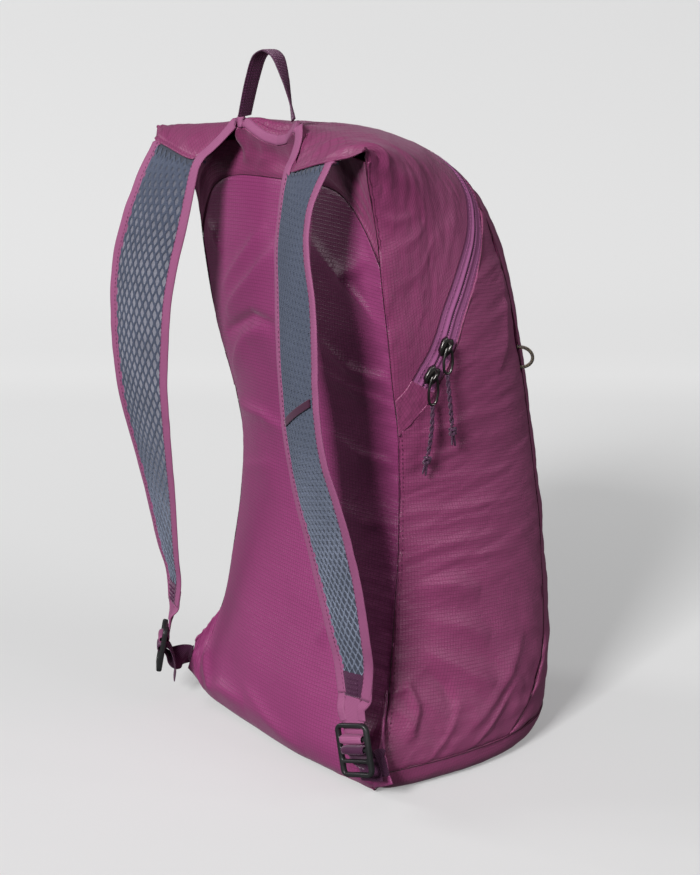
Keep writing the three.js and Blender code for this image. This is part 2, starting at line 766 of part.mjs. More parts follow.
// Each slider: its place on the zip, the lengths of its ring, cord and tail in mm, and how far the cord drifts forwards and out.
const sliders = {
  upper: { t: 0.0755, ring: 19, cord: 36, drift: 6, away: 2, tail: 9 },
  lower: { t: 0.0495, ring: 21, cord: 34, drift: -1, away: 3, tail: 9 },
};
for (const [name, s] of Object.entries(sliders)) {
  const { at, out, down } = spot(s.t, zipLevel(s.t), 0);
  const e = 1e-3;
  const along = unit(frontSkin(s.t + e, zipLevel(s.t + e)).sub(at));
  const across = side(out, along);
  const lift = (d) => at.clone().addScaledVector(out, clearance + d);
  const bodyPlate = plate(
    rounded(0, 0, sliderWidth, sliderLength, 0.28 * sliderWidth),
    [],
    sliderPlate,
    lift(sliderPlate / 2),
    across,
    along.clone(),
  );
  // The bridge stands on the plate; its eye is just higher and longer than the ring's bar is thick and wide.
  const eyeHigh = ringBar + 0.8;
  const eyeLong = 3 * ringBar;
  const wall = 1.2;
  const bridge = plate(
    [
      [-eyeLong / 2 - 1.3 * wall, 0],
      [eyeLong / 2 + 1.3 * wall, 0],
      [eyeLong / 2 + wall, eyeHigh + 0.6],
      [eyeLong / 2, eyeHigh + 0.8 + wall],
      [-eyeLong / 2, eyeHigh + 0.8 + wall],
      [-eyeLong / 2 - wall, eyeHigh + 0.6],
    ],
    [
      [
        [-eyeLong / 2, 0.8],
        [-eyeLong / 2, eyeHigh + 0.8],
        [eyeLong / 2, eyeHigh + 0.8],
        [eyeLong / 2, 0.8],
      ],
    ],
    bridgeThick,
    lift(sliderPlate - 0.4),
    along.clone(),
    out.clone(),
  );
  add("zip_slider_" + name, "metal", union(bodyPlate, bridge));
  const ringSide = unit(side(down, out));
  const ringMiddle = lift(sliderPlate - 0.4 + 0.8 + eyeHigh / 2).addScaledVector(
    down,
    s.ring / 2 - ringBar / 2,
  );
  add(
    "pull_ring_" + name,
    "metal",
    plate(
      rounded(0, 0, ringWidth, s.ring, 0.34 * ringWidth),
      [
        rounded(
          0,
          0,
          ringWidth - 2 * ringBar,
          s.ring - 2 * ringBar,
          0.34 * (ringWidth - 2 * ringBar),
        ).reverse(),
      ],
      ringBar,
      ringMiddle,
      ringSide,
      down.clone().negate(),
    ),
  );
  // The doubled cord hangs from the ring's foot down to its knot; the knot and the tails below it are one short piece.
  const foot = ringMiddle.clone().addScaledVector(down, s.ring / 2 + clearance);
  const front = unit(side(out, V(0, 0, 1)));
  const cordPoint = (k) =>
    foot
      .clone()
      .addScaledVector(down, s.cord * k)
      .addScaledVector(front, -s.drift * k ** 1.4)
      .addScaledVector(out, s.away * Math.sin(Math.PI * k) * 0.5);
  add("pull_cord_" + name, "cord", tube(steps(6).map(cordPoint), cordWidth));
  const knot = cordPoint(1).addScaledVector(out, 0);
  const heading = unit(knot.clone().sub(cordPoint(0.9)));
  const bulge = [
    [0, 0.5],
    [0.14, 0.84],
    [0.38, 1],
    [0.64, 1],
    [0.86, 0.84],
    [1, 0.6],
  ].map(([d, r]) => [clearance + d * 1.1 * knotWidth, (r * knotWidth) / 2]);
  const neckDown = bulge.at(-1)[0];
  bulge.push([neckDown + s.tail * 0.5, 0.5 * cordWidth]);
  bulge.push([neckDown + s.tail, 0.46 * cordWidth]);
  const flat = side(heading, out);
  add(
    "pull_knot_" + name,
    "cord",
    sweep(
      bulge.map(([below, radius]) =>
        Array.from({ length: 8 }, (_, k) => {
          const turn = (2 * Math.PI * k) / 8;
          return knot
            .clone()
            .addScaledVector(heading, below)
            .addScaledVector(out, Math.cos(turn) * radius * 0.8)
            .addScaledVector(flat, Math.sin(turn) * radius);
        }),
      ),
    ),
  );
}

// A small cord loop stands out of the seam between the right side and the front.
{
  const upper = spot(corner(0.85), 0.6375, 0);
  const lower = spot(corner(0.8), 0.6075, 0);
  const out = unit(upper.out.clone().add(lower.out));
  const points = steps(10).map((k) => {
    const turn = Math.PI * k;
    return blend(upper.at, lower.at, (1 - Math.cos(turn)) / 2).addScaledVector(
      out,
      clearance + 0.15 + loopReach * Math.sin(turn),
    );
  });
  add("attachment_loop", "cord", tube(points, loopCord));
}

// The neck binding follows these rows.
const neckRows = steps(34, -1, 1).map((k) =>
  neckRow(Math.sign(k) * Math.abs(k) ** 0.85 * neckEnd),
);
add("neck_binding", "binding", band(neckRows, neckWidth, neckThick));

// The haul loop: webbing that rises from the two neckline corners and turns a little on its way.
const haul = tableOf(
  ["round", "x", "z", "turn"],
  [
    [0.0, 0.235, 1.0265, 158],
    [0.06, 0.226, 1.0355, 154],
    [0.15, 0.208, 1.0515, 145],
    [0.24, 0.183, 1.071, 134],
    [0.32, 0.157, 1.088, 124],
    [0.43, 0.085, 1.12, 105],
    [0.5, 0.01, 1.1275, 98],
    [0.57, -0.07, 1.12, 96],
    [0.7, -0.15, 1.085, 98],
    [0.88, -0.21, 1.045, 102],
    [1.0, -0.235, 1.0265, 104],
  ],
);
add(
  "haul_loop",
  "webbing",
  band(
    steps(24).map((k) => {
      const turn = THREE.MathUtils.degToRad(haul.turn(k));
      return {
        centre: V(haul.x(k) * halfWidth, -0.0225 * packDepth, haul.z(k) * packHeight),
        across: V(Math.cos(turn), Math.sin(turn), 0),
      };
    }),
    haulWidth,
    haulThick,
  ),
);

// A strap: its outer and inner edges from the shoulder down, as shares of halfWidth, packDepth and packHeight.
const strap = tableOf(
  ["down", "outX", "outY", "outZ", "inX", "inY", "inZ"],
  [
    [0.0, 0.873, -0.15, 0.98, 0.408, -0.138, 0.95],
    [0.06, 0.879, -0.227, 0.918, 0.415, -0.149, 0.926],
    [0.14, 0.928, -0.266, 0.859, 0.438, -0.182, 0.854],
    [0.23, 1.014, -0.281, 0.787, 0.486, -0.204, 0.793],
    [0.31, 1.043, -0.286, 0.724, 0.531, -0.221, 0.72],
    [0.37, 1.046, -0.286, 0.678, 0.55, -0.225, 0.671],
    [0.45, 1.049, -0.278, 0.617, 0.578, -0.225, 0.604],
    [0.53, 1.059, -0.26, 0.563, 0.6, -0.214, 0.541],
    [0.61, 1.081, -0.223, 0.505, 0.631, -0.195, 0.473],
    [0.69, 1.091, -0.185, 0.448, 0.669, -0.174, 0.417],
    [0.77, 1.095, -0.143, 0.376, 0.704, -0.155, 0.36],
    [0.87, 1.083, -0.101, 0.284, 0.762, -0.128, 0.273],
    [0.96, 1.05, -0.072, 0.218, 0.797, -0.109, 0.214],
    [1.0, 1.032, -0.074, 0.18, 0.83, -0.112, 0.176],
  ],
);
// k: 0 at the outer edge, 1 at the inner one.
function strapSkin(down, k) {
  const out = V(
    strap.outX(down) * halfWidth,
    strap.outY(down) * packDepth,
    strap.outZ(down) * packHeight,
  );
  const inn = V(
    strap.inX(down) * halfWidth,
    strap.inY(down) * packDepth,
    strap.inZ(down) * packHeight,
  );
  const width = out.distanceTo(inn);
  const p = blend(out, inn, k);
  p.y -= 0.05 * width * Math.sin(Math.PI * Math.min(Math.max(k, 0), 1)); // the strap is a little full
  return { p, width };
}
function strapPatch(sign, from, to, edgeA, edgeB) {
  // edgeA and edgeB: millimetres in from the outer and from the inner edge, or null for the other edge
  return (u, v) => {
    const down = mix(from, to, v);
    const { width } = strapSkin(down, 0);
    const a = edgeA >= 0 ? edgeA / width : 1 + edgeA / width;
    const b = edgeB >= 0 ? edgeB / width : 1 + edgeB / width;
    return mirrored(strapSkin(down, mix(a, b, u)).p, sign);
  };
}
for (const [name, sign] of [
  ["right", 1],
  ["left", -1],
]) {
  const rows = steps(24);
  const piece = (edgeA, edgeB, across, trim, thick, from = 0, to = 1) => {
    const at = strapPatch(sign, from, to, edgeA, edgeB);
    // the strap's outside faces away from the back
    const made = sign > 0 ? (u, v) => at(1 - u, 1 - v) : (u, v) => at(u, 1 - v);
    return panel(made, steps(across), rows, trim, thick);
  };
  const e = bindingWidth + 0.45;
  add(
    "strap_mesh_" + name,
    "mesh",
    piece(e, -e, 4, [0, 0, 0, 0.6], strapThick, 0, 0.9),
  );
  add(
    "strap_patch_" + name,
    "webbing",
    panel(
      ((at) => (sign > 0 ? (u, v) => at(1 - u, 1 - v) : (u, v) => at(u, 1 - v)))(
        strapPatch(sign, 0.905, 0.995, e, -e),
      ),
      [0, 1],
      steps(4),
      [0, 0, 0, 0],
      patchThick,
    ),
  );
  add(
    "strap_binding_outer_" + name,
    "binding",
    piece(0, bindingWidth, 1, [0, 0, 0, 0.6], strapThick),
  );
  add(
    "strap_binding_inner_" + name,
    "binding",
    piece(-bindingWidth, -0.0001, 1, [0, 0, 0, 0.6], strapThick),
  );
}

// The bare band sewn slantwise across the right strap.
{
  const at = (u, v) => {
    const k = mix(0.16, 0.84, u);
    const down = 0.435 + 0.075 * (k - 0.5) + ((v - 0.5) * labelWidth) / (0.79 * packHeight);
    const { p } = strapSkin(down, k);
    return p.add(V(0.12, -0.95, 0).multiplyScalar(labelThick + 0.55));
  };
  add("strap_label", "label", panel((u, v) => at(1 - u, 1 - v), steps(5), [0, 1], [0, 0, 0, 0], labelThick));
}

// Wings: the gussets at the bottom back corners. Their outer edges hold the lower webbing.
const wingTip = tableOf(
  ["up", "x", "y", "z"],
  [
    [0.0, 1.046, 0.0025, 0.038],
    [1.0, 0.942, 0.0075, 0.101],
  ],
);
const tipPoint = (v) =>
  V(wingTip.x(v) * halfWidth, wingTip.y(v) * packDepth, wingTip.z(v) * packHeight);
for (const [name, sign] of [
  ["right", 1],
  ["left", -1],
]) {
  const at = (u, v) => {
    const root = backSkin(1, mix(0.03, 0.185, v));
    root.x += cloth + 0.8;
    root.y -= clearance;
    const p = blend(root, tipPoint(v), u);
    p.y += cloth / 2;
    return mirrored(p, sign);
  };
  const made = sign > 0 ? at : (u, v) => at(1 - u, v);
  add("wing_" + name, "body", panel(made, steps(3), steps(4), [0, 0, 0, 0]));
}

// Ladder locks: where the top edge's middle is, as shares of halfWidth, packDepth and packHeight, and the directions of the width and of the length.
const locks = {
  right: { sign: 1, top: [0.942, -0.114, 0.141], wide: V(0.88, 0.3, 0.36), down: V(0.22, 0.02, -0.97) },
  left: { sign: -1, top: [-0.965, -0.1175, 0.141], wide: V(-0.86, 0.5, 0.12), down: V(-0.1, -0.15, -0.98) },
};
for (const [name, lock] of Object.entries(locks)) {
  const b = unit(lock.down);
  const a = unit(lock.wide.clone().addScaledVector(b, -lock.wide.dot(b)));
  const n = side(a, b).multiplyScalar(side(a, b).y > 0 ? -1 : 1); // out of the pack
  const top = V(
    lock.top[0] * halfWidth,
    lock.top[1] * packDepth,
    lock.top[2] * packHeight,
  );
  const at = (along, lift) =>
    top.clone().addScaledVector(b, along).addScaledVector(n, lift);
  // Four windows between five rails; the end rails are a little wider.
  const inner = lockWidth - 2 * lockSide;
  const free = lockLength - 5 * lockRail - 1.4;
  const windows = [];
  let edge = lockRail + 0.7;
  for (const share of [0.28, 0.21, 0.23, 0.28]) {
    windows.push([edge, edge + share * free]);
    edge += share * free + lockRail;
  }
  add(
    "ladder_lock_" + name,
    "plastic",
    plate(
      rounded(0, lockLength / 2, lockWidth, lockLength, 0.19 * lockWidth, 3),
      windows.map(([p, q]) => rounded(0, (p + q) / 2, inner, q - p, 1.2, 1).reverse()),
      lockThick,
      top,
      a,
      b,
    ),
  );
  // A strip folded round the rail between two windows, seen along the width: first and last lie behind the lock.
  const fold = (rail, thick, backward) => {
    const middle = (windows[rail][1] + windows[rail + 1][0]) / 2;
    const reach = lockRail / 2 + clearance + thick / 2;
    const lift = lockThick / 2 + clearance + thick / 2;
    const turn = backward ? -1 : 1;
    return [
      [1, -lift * 0.45],
      [1, lift * 0.64],
      [0.78, lift],
      [-0.78, lift],
      [-1, lift * 0.64],
      [-1, -lift * 0.62],
    ].map(([r, l]) => ({ centre: at(middle + turn * r * reach, l), across: a.clone() }));
  };
  const behind = lockThick / 2 + clearance + tabThick / 2;
  // The strap's end comes down behind the top rail and folds round the second one.
  const strapEnd = mirrored(strapSkin(1, 0.5).p, lock.sign);
  const wideEnd = mirrored(strapSkin(1, 0).p.sub(strapSkin(1, 1).p), lock.sign);
  const start = strapEnd.add(V(0, tabThick, -2 * tabThick));
  const tabBend = (windows[0][1] + windows[1][0]) / 2;
  add(
    "strap_tab_" + name,
    "binding",
    band(
      [
        { centre: start, across: wideEnd },
        { centre: blend(start, at(-6, -behind), 0.5).add(V(0, 0, 1)), across: blend(unit(wideEnd), a, 0.5) },
        { centre: at(-4, -behind), across: a.clone() },
        { centre: at(0.6 * windows[0][1], -behind), across: a.clone() },
        { centre: at(tabBend + 0.6 * lockRail, -behind), across: a.clone() },
        ...fold(0, tabThick, false),
      ],
      webbingWidth,
      tabThick,
    ),
  );
  // The lower webbing comes from the wing, up through the third window, over its rail and back down behind.
  const wing = mirrored(blend(tipPoint(0), tipPoint(1), 0.5), lock.sign);
  wing.y += cloth / 2 - clearance;
  const wingWide = mirrored(tipPoint(1).sub(tipPoint(0)), lock.sign);
  const into = windows[2][0];
  add(
    "lower_webbing_" + name,
    "webbing",
    band(
      [
        { centre: wing, across: wingWide },
        { centre: wing.clone().add(V(0, -2.5 * webbingThick, 0)), across: wingWide },
        { centre: blend(wing, at(into + 8, -9), 0.4), across: blend(unit(wingWide), a, 0.3) },
        { centre: at(into + 7.5, -7.4), across: blend(unit(wingWide), a, 0.75) },
        { centre: at(into + 4.6, -4.4), across: a.clone() },
        ...fold(1, webbingThick, false),
        { centre: at(into - 1.6, -5.4), across: a.clone() },
        { centre: at(into + 5, -9.6), across: a.clone() },
        { centre: at(into + 15, -13), across: a.clone() },
        { centre: at(into + 24, -13.5), across: a.clone() },
      ],
      webbingWidth,
      webbingThick,
    ),
  );
}

export default pack;
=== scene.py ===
import math

import bpy
import numpy as np
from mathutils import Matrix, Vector


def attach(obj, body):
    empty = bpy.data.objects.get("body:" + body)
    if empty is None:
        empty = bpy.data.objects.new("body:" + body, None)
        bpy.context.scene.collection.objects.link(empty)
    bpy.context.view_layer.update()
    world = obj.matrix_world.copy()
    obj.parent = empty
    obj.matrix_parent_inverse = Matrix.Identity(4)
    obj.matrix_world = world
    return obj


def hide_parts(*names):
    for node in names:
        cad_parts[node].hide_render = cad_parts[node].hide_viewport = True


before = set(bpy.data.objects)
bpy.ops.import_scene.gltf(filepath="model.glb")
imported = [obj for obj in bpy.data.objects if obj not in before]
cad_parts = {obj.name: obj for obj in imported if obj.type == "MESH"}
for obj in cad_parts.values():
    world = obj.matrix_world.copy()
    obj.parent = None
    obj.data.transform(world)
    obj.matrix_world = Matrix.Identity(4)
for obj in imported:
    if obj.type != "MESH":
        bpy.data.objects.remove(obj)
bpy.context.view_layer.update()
print("frame loaded")

# Lengths below are in millimetres, in the pack's own frame; place() turns them into metres.
pack = {"height": 444, "half": 130, "depth": 200, "middle": 95, "cloth": 1.2}

cameraSet = {"at": (1.0425, -0.7699, 0.5278), "azimuth": 54.7, "tilt": 13.4, "lens": 74.06}


def makeCamera():
    data = bpy.data.cameras.new("photo_camera")
    data.sensor_fit = "VERTICAL"
    data.sensor_height = 36
    data.lens = cameraSet["lens"]
    data.clip_end = 50
    camera = bpy.data.objects.new("photo_camera", data)
    camera.location = cameraSet["at"]
    camera.rotation_euler = (
        math.radians(90 - cameraSet["tilt"]),
        0,
        math.radians(cameraSet["azimuth"]),
    )
    bpy.context.collection.objects.link(camera)
    bpy.context.scene.camera = camera


makeCamera()


# A smooth curve through points, for arrays. It never overshoots them; a soft one is round at its turns.
def through(xs, ys, soft=False):
    xs, ys = np.array(xs, float), np.array(ys, float)
    gap = np.diff(xs)
    rise = np.diff(ys) / gap
    slope = np.gradient(ys, xs) if soft else np.zeros(len(xs))
    if not soft:
        slope[0], slope[-1] = rise[0], rise[-1]
        for i in range(1, len(xs) - 1):
            if rise[i - 1] * rise[i] > 0:
                a, b = 2 * gap[i] + gap[i - 1], gap[i] + 2 * gap[i - 1]
                slope[i] = (a + b) / (a / rise[i - 1] + b / rise[i])

    def at(x):
        x = np.asarray(x, float)
        i = np.clip(np.searchsorted(xs, x) - 1, 0, len(gap) - 1)
        k = (x - xs[i]) / gap[i]
        inside = (
            (1 + 2 * k) * (1 - k) ** 2 * ys[i]
            + k * (1 - k) ** 2 * gap[i] * slope[i]
            + k * k * (3 - 2 * k) * ys[i + 1]
            + k * k * (k - 1) * gap[i] * slope[i + 1]
        )
        before = ys[0] + slope[0] * (x - xs[0])
        after = ys[-1] + slope[-1] * (x - xs[-1])
        return np.where(x < xs[0], before, np.where(x > xs[-1], after, inside))

    return at


class Table:
    def __init__(self, names, rows):
        for i, name in enumerate(names[1:]):
            setattr(self, name, through([r[0] for r in rows], [r[i + 1] for r in rows]))


def sideBySide(a, b):
    return [(a[i], b[i]) for i in range(min(len(a), len(b)))]


def mix(a, b, k):
    return a + (b - a) * k


def smooth(h):
    return h * h * (3 - 2 * h)


def vec(x, y, z):
    return np.stack(np.broadcast_arrays(x, y, z), axis=-1).astype(float)


def unit(v):
    return v / np.maximum(np.linalg.norm(v, axis=-1, keepdims=True), 1e-9)


def place(points):
    return (np.asarray(points) - (0, pack["middle"], 0)) / 1000


# Shares of the pack's half width, depth and height, as a point in millimetres.
def sized(x, y, z):
    return vec(x * pack["half"], y * pack["depth"], z * pack["height"])


# level: 0 at the floor, 1 at the ridge between the shoulder tips; the columns are shares of the pack's sizes.
body = Table(
    ["level", "height", "half", "back", "front", "rise", "mid", "flare", "reach", "square"],
    [
        [0.0, 0.0, 0.8, 0.065, 0.92, 0.0, 0.03, 11, 0.62, 0.74],
        [0.02, 0.007, 0.877, 0.025, 0.98, 0.007, -0.01, 10, 0.63, 0.78],
        [0.05, 0.025, 0.915, 0.005, 1.025, 0.025, -0.04, 9, 0.64, 0.8],
        [0.09, 0.059, 0.923, 0.015, 1.05, 0.061, -0.06, 8, 0.65, 0.8],
        [0.15, 0.117, 0.892, 0.06, 1.06, 0.122, -0.05, 9, 0.66, 0.8],
        [0.22, 0.191, 0.838, 0.105, 1.06, 0.203, -0.02, 10, 0.66, 0.78],
        [0.3, 0.284, 0.808, 0.135, 1.04, 0.302, 0.02, 11, 0.66, 0.76],
        [0.38, 0.374, 0.785, 0.16, 1.015, 0.399, 0.05, 11, 0.66, 0.75],
        [0.46, 0.464, 0.769, 0.17, 0.98, 0.48, 0.065, 11, 0.66, 0.74],
        [0.54, 0.554, 0.8, 0.15, 0.945, 0.561, 0.055, 10, 0.65, 0.74],
        [0.62, 0.644, 0.838, 0.105, 0.905, 0.651, 0.03, 9, 0.64, 0.74],
        [0.7, 0.73, 0.862, 0.07, 0.86, 0.745, 0.005, 8, 0.62, 0.74],
        [0.77, 0.806, 0.865, 0.045, 0.8, 0.833, 0.005, 8, 0.6, 0.72],
        [0.84, 0.878, 0.862, 0.025, 0.705, 0.91, 0.02, 9, 0.58, 0.7],
        [0.9, 0.932, 0.892, -0.015, 0.56, 0.964, 0.035, 10, 0.55, 0.66],
        [0.95, 0.973, 0.946, -0.055, 0.385, 1.002, 0.045, 10, 0.5, 0.58],
        [0.98, 0.993, 0.985, -0.075, 0.2, 1.018, 0.045, 10, 0.45, 0.5],
        [1.0, 1.0, 1.0, -0.085, 0.04, 1.018, 0.04, 10, 0.4, 0.5],
    ],
)


# t runs round the front from the right side seam (0) to the left one (1).
def frontSkin(t, level):
    t, level = np.broadcast_arrays(np.asarray(t, float), np.asarray(level, float))
    h = 1 - np.abs(2 * t - 1)
    half = body.half(level) * pack["half"]
    back = body.back(level) * pack["depth"]
    front = body.front(level) * pack["depth"]
    lean = np.radians(body.flare(level))
    run = body.reach(level) * (front - back)
    b = [(1 - h) ** 3, 3 * (1 - h) ** 2 * h, 3 * (1 - h) * h * h, h**3]
    x = b[0] * half + b[1] * (half + run * np.sin(lean)) + b[2] * body.square(level) * pack["half"]
    y = b[0] * back + b[1] * (back + run * np.cos(lean)) + (b[2] + b[3]) * front
    z = mix(body.height(level), body.rise(level), smooth(h)) * pack["height"]
    return vec(np.where(t <= 0.5, x, -x), y, z)


# s runs across the back from the left side seam (-1) to the right one (1).
def backSkin(s, level):
    s, level = np.broadcast_arrays(np.asarray(s, float), np.asarray(level, float))
    mid = body.mid(level) * pack["depth"]
    seam = body.back(level) * pack["depth"]
    return vec(
        body.half(level) * pack["half"] * s,
        mix(mid, seam, np.abs(s) ** 2.4),
        body.height(level) * pack["height"],
    )


zipShape = {"half": 10, "stripEnd": 0.034, "sunk": 0.7, "bulge": 0.9, "split": 0.28, "seam": 0.8}
zipLevel = through(
    [0, 0.03, 0.05, 0.066, 0.08, 0.1, 0.122, 0.142, 0.192, 0.218, 0.31, 0.42, 0.5],
    [0.572, 0.602, 0.63, 0.652, 0.675, 0.71, 0.7375, 0.76, 0.8075, 0.8325, 0.89, 0.922, 0.93],
)


# t and level of the point that lies offset mm above the zip's middle line.
def besideZip(t, offset):
    t, offset = np.broadcast_arrays(np.asarray(t, float), np.asarray(offset, float))
    flip = t > 0.5
    t = np.where(flip, 1 - t, t)
    level = zipLevel(t)
    at = np.maximum(t, 0)
    e = 1e-3
    p = frontSkin(at, level)
    dt = (frontSkin(at + e, level) - p) / e
    dl = (frontSkin(at, level + e) - p) / e
    slope = np.where(t > 0.497, 0, (zipLevel(at + e) - zipLevel(at)) / e)
    along = unit(dt + dl * slope[..., None])
    normal = unit(np.cross(dt, dl))
    up = np.cross(normal, along) * offset[..., None]
    a, b, c = (dt * dt).sum(-1), (dt * dl).sum(-1), (dl * dl).sum(-1)
    d, f = (up * dt).sum(-1), (up * dl).sum(-1)
    det = a * c - b * b
    t = t + (d * c - f * b) / det
    return np.where(flip, 1 - t, t), level + (a * f - b * d) / det


def zipStart(offset):
    low, high = -0.06, 0.06
    for _ in range(40):
        middle = (low + high) / 2
        if besideZip(middle, offset)[0] < 0:
            low = middle
        else:
            high = middle
    return high


hoodStart, sideStart = zipStart(zipShape["half"]), zipStart(-zipShape["half"])
baseLevel = 0.07
cornerTop = 0.245
cornerEnd = float(besideZip(cornerTop, -zipShape["half"])[0])
cornerLine = through(
    [0, 0.08, 0.18, 0.4, 0.62, 0.8, 1],
    [0.176, 0.225, 0.262, 0.268, 0.258, 0.246, 0.238],
)


def corner(v):
    return cornerLine(v) + (cornerEnd - cornerLine(1)) * v


# The panels below the zip: v from the base seam to the zip's lower edge.
def lowerPanel(topA, topB, seamA, seamB):
    def at(u, v):
        tTop, levelTop = besideZip(mix(topA, topB, u), -zipShape["half"])
        straight = mix(mix(seamA(0), seamB(0), u), tTop, v)
        bendA = seamA(v) - mix(seamA(0), seamA(1), v)
        bendB = seamB(v) - mix(seamB(0), seamB(1), v)
        t = straight + mix(bendA, bendB, u)
        return frontSkin(np.clip(t, 0, 1), mix(baseLevel, levelTop, v))

    return at


hem = Table(
    ["round", "x", "y", "z"],
    [
        [0.0, 0.99, -0.095, 0.994],
        [0.2, 0.926, -0.122, 0.986],
        [0.35, 0.869, -0.148, 0.982],
        [0.5, 0.723, -0.154, 0.9735],
        [0.6, 0.615, -0.154, 0.966],
        [0.68, 0.53, -0.15, 0.96],
        [0.74, 0.482, -0.138, 0.9575],
        [0.78, 0.454, -0.095, 0.973],
        [0.82, 0.419, -0.052, 0.992],
        [0.86, 0.36, -0.02, 1.011],
        [0.9, 0.28, 0.01, 1.026],
        [0.94, 0.17, 0.018, 1.014],
        [1.0, 0.0, 0.03, 1.004],
    ],
)
ridgeAt = 0.76  # v of the ridge on the hood
underBinding = 3.0  # mm from the neckline's middle line to the hood's edge, under the binding


def hoodEdge(t):
    h = 1 - np.abs(2 * t - 1)
    side = np.where(t <= 0.5, 1, -1)
    share = np.minimum(hem.x(h) * 0.93, 0.43) * side
    at = neckPoint(share) + unit(neckAcross(share)) * underBinding + (0, 0.6, -0.4)
    near = smooth(np.clip((h - 0.75) / 0.05, 0, 1))
    return mix(sized(hem.x(h) * side, hem.y(h), hem.z(h)), at, near[..., None])


def hoodSkin(u, v):
    t0, level0 = besideZip(mix(hoodStart, 1 - hoodStart, u), zipShape["half"])
    k = np.minimum(v / ridgeAt, 1)
    t = mix(t0, u, smooth(np.minimum(k * 1.2, 1)))
    below = frontSkin(t, mix(level0, 1, k))
    k = np.maximum((v - ridgeAt) / (1 - ridgeAt), 0)
    over = mix(frontSkin(u, 1), hoodEdge(u), k[..., None])
    over[..., 2] += 1.6 * np.sin(np.pi * k)
    return np.where((v <= ridgeAt)[..., None], below, over)


def archLevel(s):
    return 0.9 - 0.118 * np.abs(s) ** 5


neck = Table(
    ["x", "y", "z", "tilt"],
    [
        [0.0, 0.014, 0.9915, 78],
        [0.1, 0.006, 0.996, 74],
        [0.17, -0.007, 1.006, 66],
        [0.235, -0.017, 1.0155, 58],
        [0.292, -0.024, 1.016, 45],
        [0.338, -0.042, 1.003, 25],
        [0.373, -0.066, 0.987, 12],
        [0.408, -0.1, 0.97, 4],
        [0.43, -0.128, 0.959, 0],
    ],
)


def neckPoint(share):
    x = np.abs(share)
    return sized(share, neck.y(x), neck.z(x))


def neckAcross(share):
    lean = np.radians(neck.tilt(np.abs(share)))
    sign = np.sign(share)
    side = sign * np.cos(lean) * np.clip(np.abs(share) / 0.19, 0, 1)
    return vec(side, 0.15 + 0 * lean, np.sin(lean))


# The cloth between the shoulders: from the arch up to the neckline, which it meets edge to edge.
def upperBack(u, v):
    u, v = np.broadcast_arrays(u, v)
    level = 0.968 - 0.012 * u * u
    top = backSkin(u, level)
    share = top[..., 0] / pack["half"]
    near = np.clip((0.41 - np.abs(share)) / 0.1, 0, 1)
    at = np.sign(share) * np.minimum(np.abs(share), 0.43)
    middle = neckPoint(at)
    run = unit(neckPoint(at + 1e-3) - middle)
    across = neckAcross(at)
    across = unit(across - run * (across * run).sum(-1, keepdims=True))
    edge = middle - across * 4.3
    p = backSkin(u, mix(archLevel(u), level, v))
    return p + (edge - top) * (smooth(near) * v * v)[..., None]


# A node with its settings; feeds gives its inputs a value or another node's output.
def node(tree, kind, feeds=None, **settings):
    made = tree.nodes.new(kind)
    for key, value in settings.items():
        setattr(made, key, value)
    feed(tree, made, feeds or {})
    return made


def feed(tree, made, feeds):
    for key, value in feeds.items():
        if hasattr(value, "is_linked"):
            tree.links.new(value, made.inputs[key])
        else:
            made.inputs[key].default_value = value


def maths(tree, operation, *values):
    return node(tree, "ShaderNodeMath", dict(enumerate(values)), operation=operation).outputs[0]


def blend(tree, weight, a, b):
    return node(tree, "ShaderNodeMix", {0: weight, 6: a, 7: b}, data_type="RGBA").outputs[2]


def noise(tree, scale, detail, **feeds):
    where = node(tree, "ShaderNodeTexCoord").outputs["Object"]
    feeds = {"Vector": where, "Scale": scale, "Detail": detail, **feeds}
    return node(tree, "ShaderNodeTexNoise", feeds).outputs[0]


def bump(tree, height, distance, **feeds):
    return node(tree, "ShaderNodeBump", {"Height": height, "Distance": distance, **feeds}).outputs[0]


def split(tree, vector):
    return node(tree, "ShaderNodeSeparateXYZ", {0: vector}).outputs


# A sine wave with one turn for each step of run.
def waveOf(tree, run, turn=2 * math.pi):
    return maths(tree, "SINE", maths(tree, "MULTIPLY", run, turn))


def newGroup(kind, name, inputs, outputs):
    tree = bpy.data.node_groups.new(name, kind)
    for flow, listed in (("INPUT", inputs), ("OUTPUT", outputs)):
        for label, socket in listed.items():
            tree.interface.new_socket(name=label, in_out=flow, socket_type="NodeSocket" + socket)
    return tree, tree.nodes.new("NodeGroupInput").outputs, tree.nodes.new("NodeGroupOutput")


# Thin lines of a square grid, with the weave's own grain between them.
def makeRipstopGroup():
    tree, given, made = newGroup(
        "ShaderNodeTree",
        "ripstop_grid",
        {"Cloth": "Vector", "Pitch": "Float", "Line": "Float"},
        {"Lines": "Float", "Height": "Float"},
    )
    pitch = node(tree, "ShaderNodeCombineXYZ", {0: given["Pitch"], 1: given["Pitch"], 2: 1})
    scaled = node(
        tree, "ShaderNodeVectorMath", {0: given["Cloth"], 1: pitch.outputs[0]}, operation="DIVIDE"
    )
    parts = split(tree, scaled.outputs[0])
    edgeFrom = maths(tree, "SUBTRACT", 0.5, given["Line"])
    lines, threads = [], []
    for axis in (0, 1):
        cell = maths(tree, "FRACT", parts[axis])
        edge = maths(tree, "ABSOLUTE", maths(tree, "SUBTRACT", cell, 0.5))
        line = maths(tree, "DIVIDE", maths(tree, "SUBTRACT", edge, edgeFrom), given["Line"])
        lines.append(maths(tree, "MAXIMUM", line, 0.0))
        threads.append(waveOf(tree, parts[axis], 12 * math.pi))
    both = maths(tree, "MAXIMUM", *lines)
    grain = maths(tree, "MULTIPLY", *threads)
    feed(tree, made, {"Lines": both, "Height": maths(tree, "MULTIPLY_ADD", grain, 0.14, both)})
    return tree


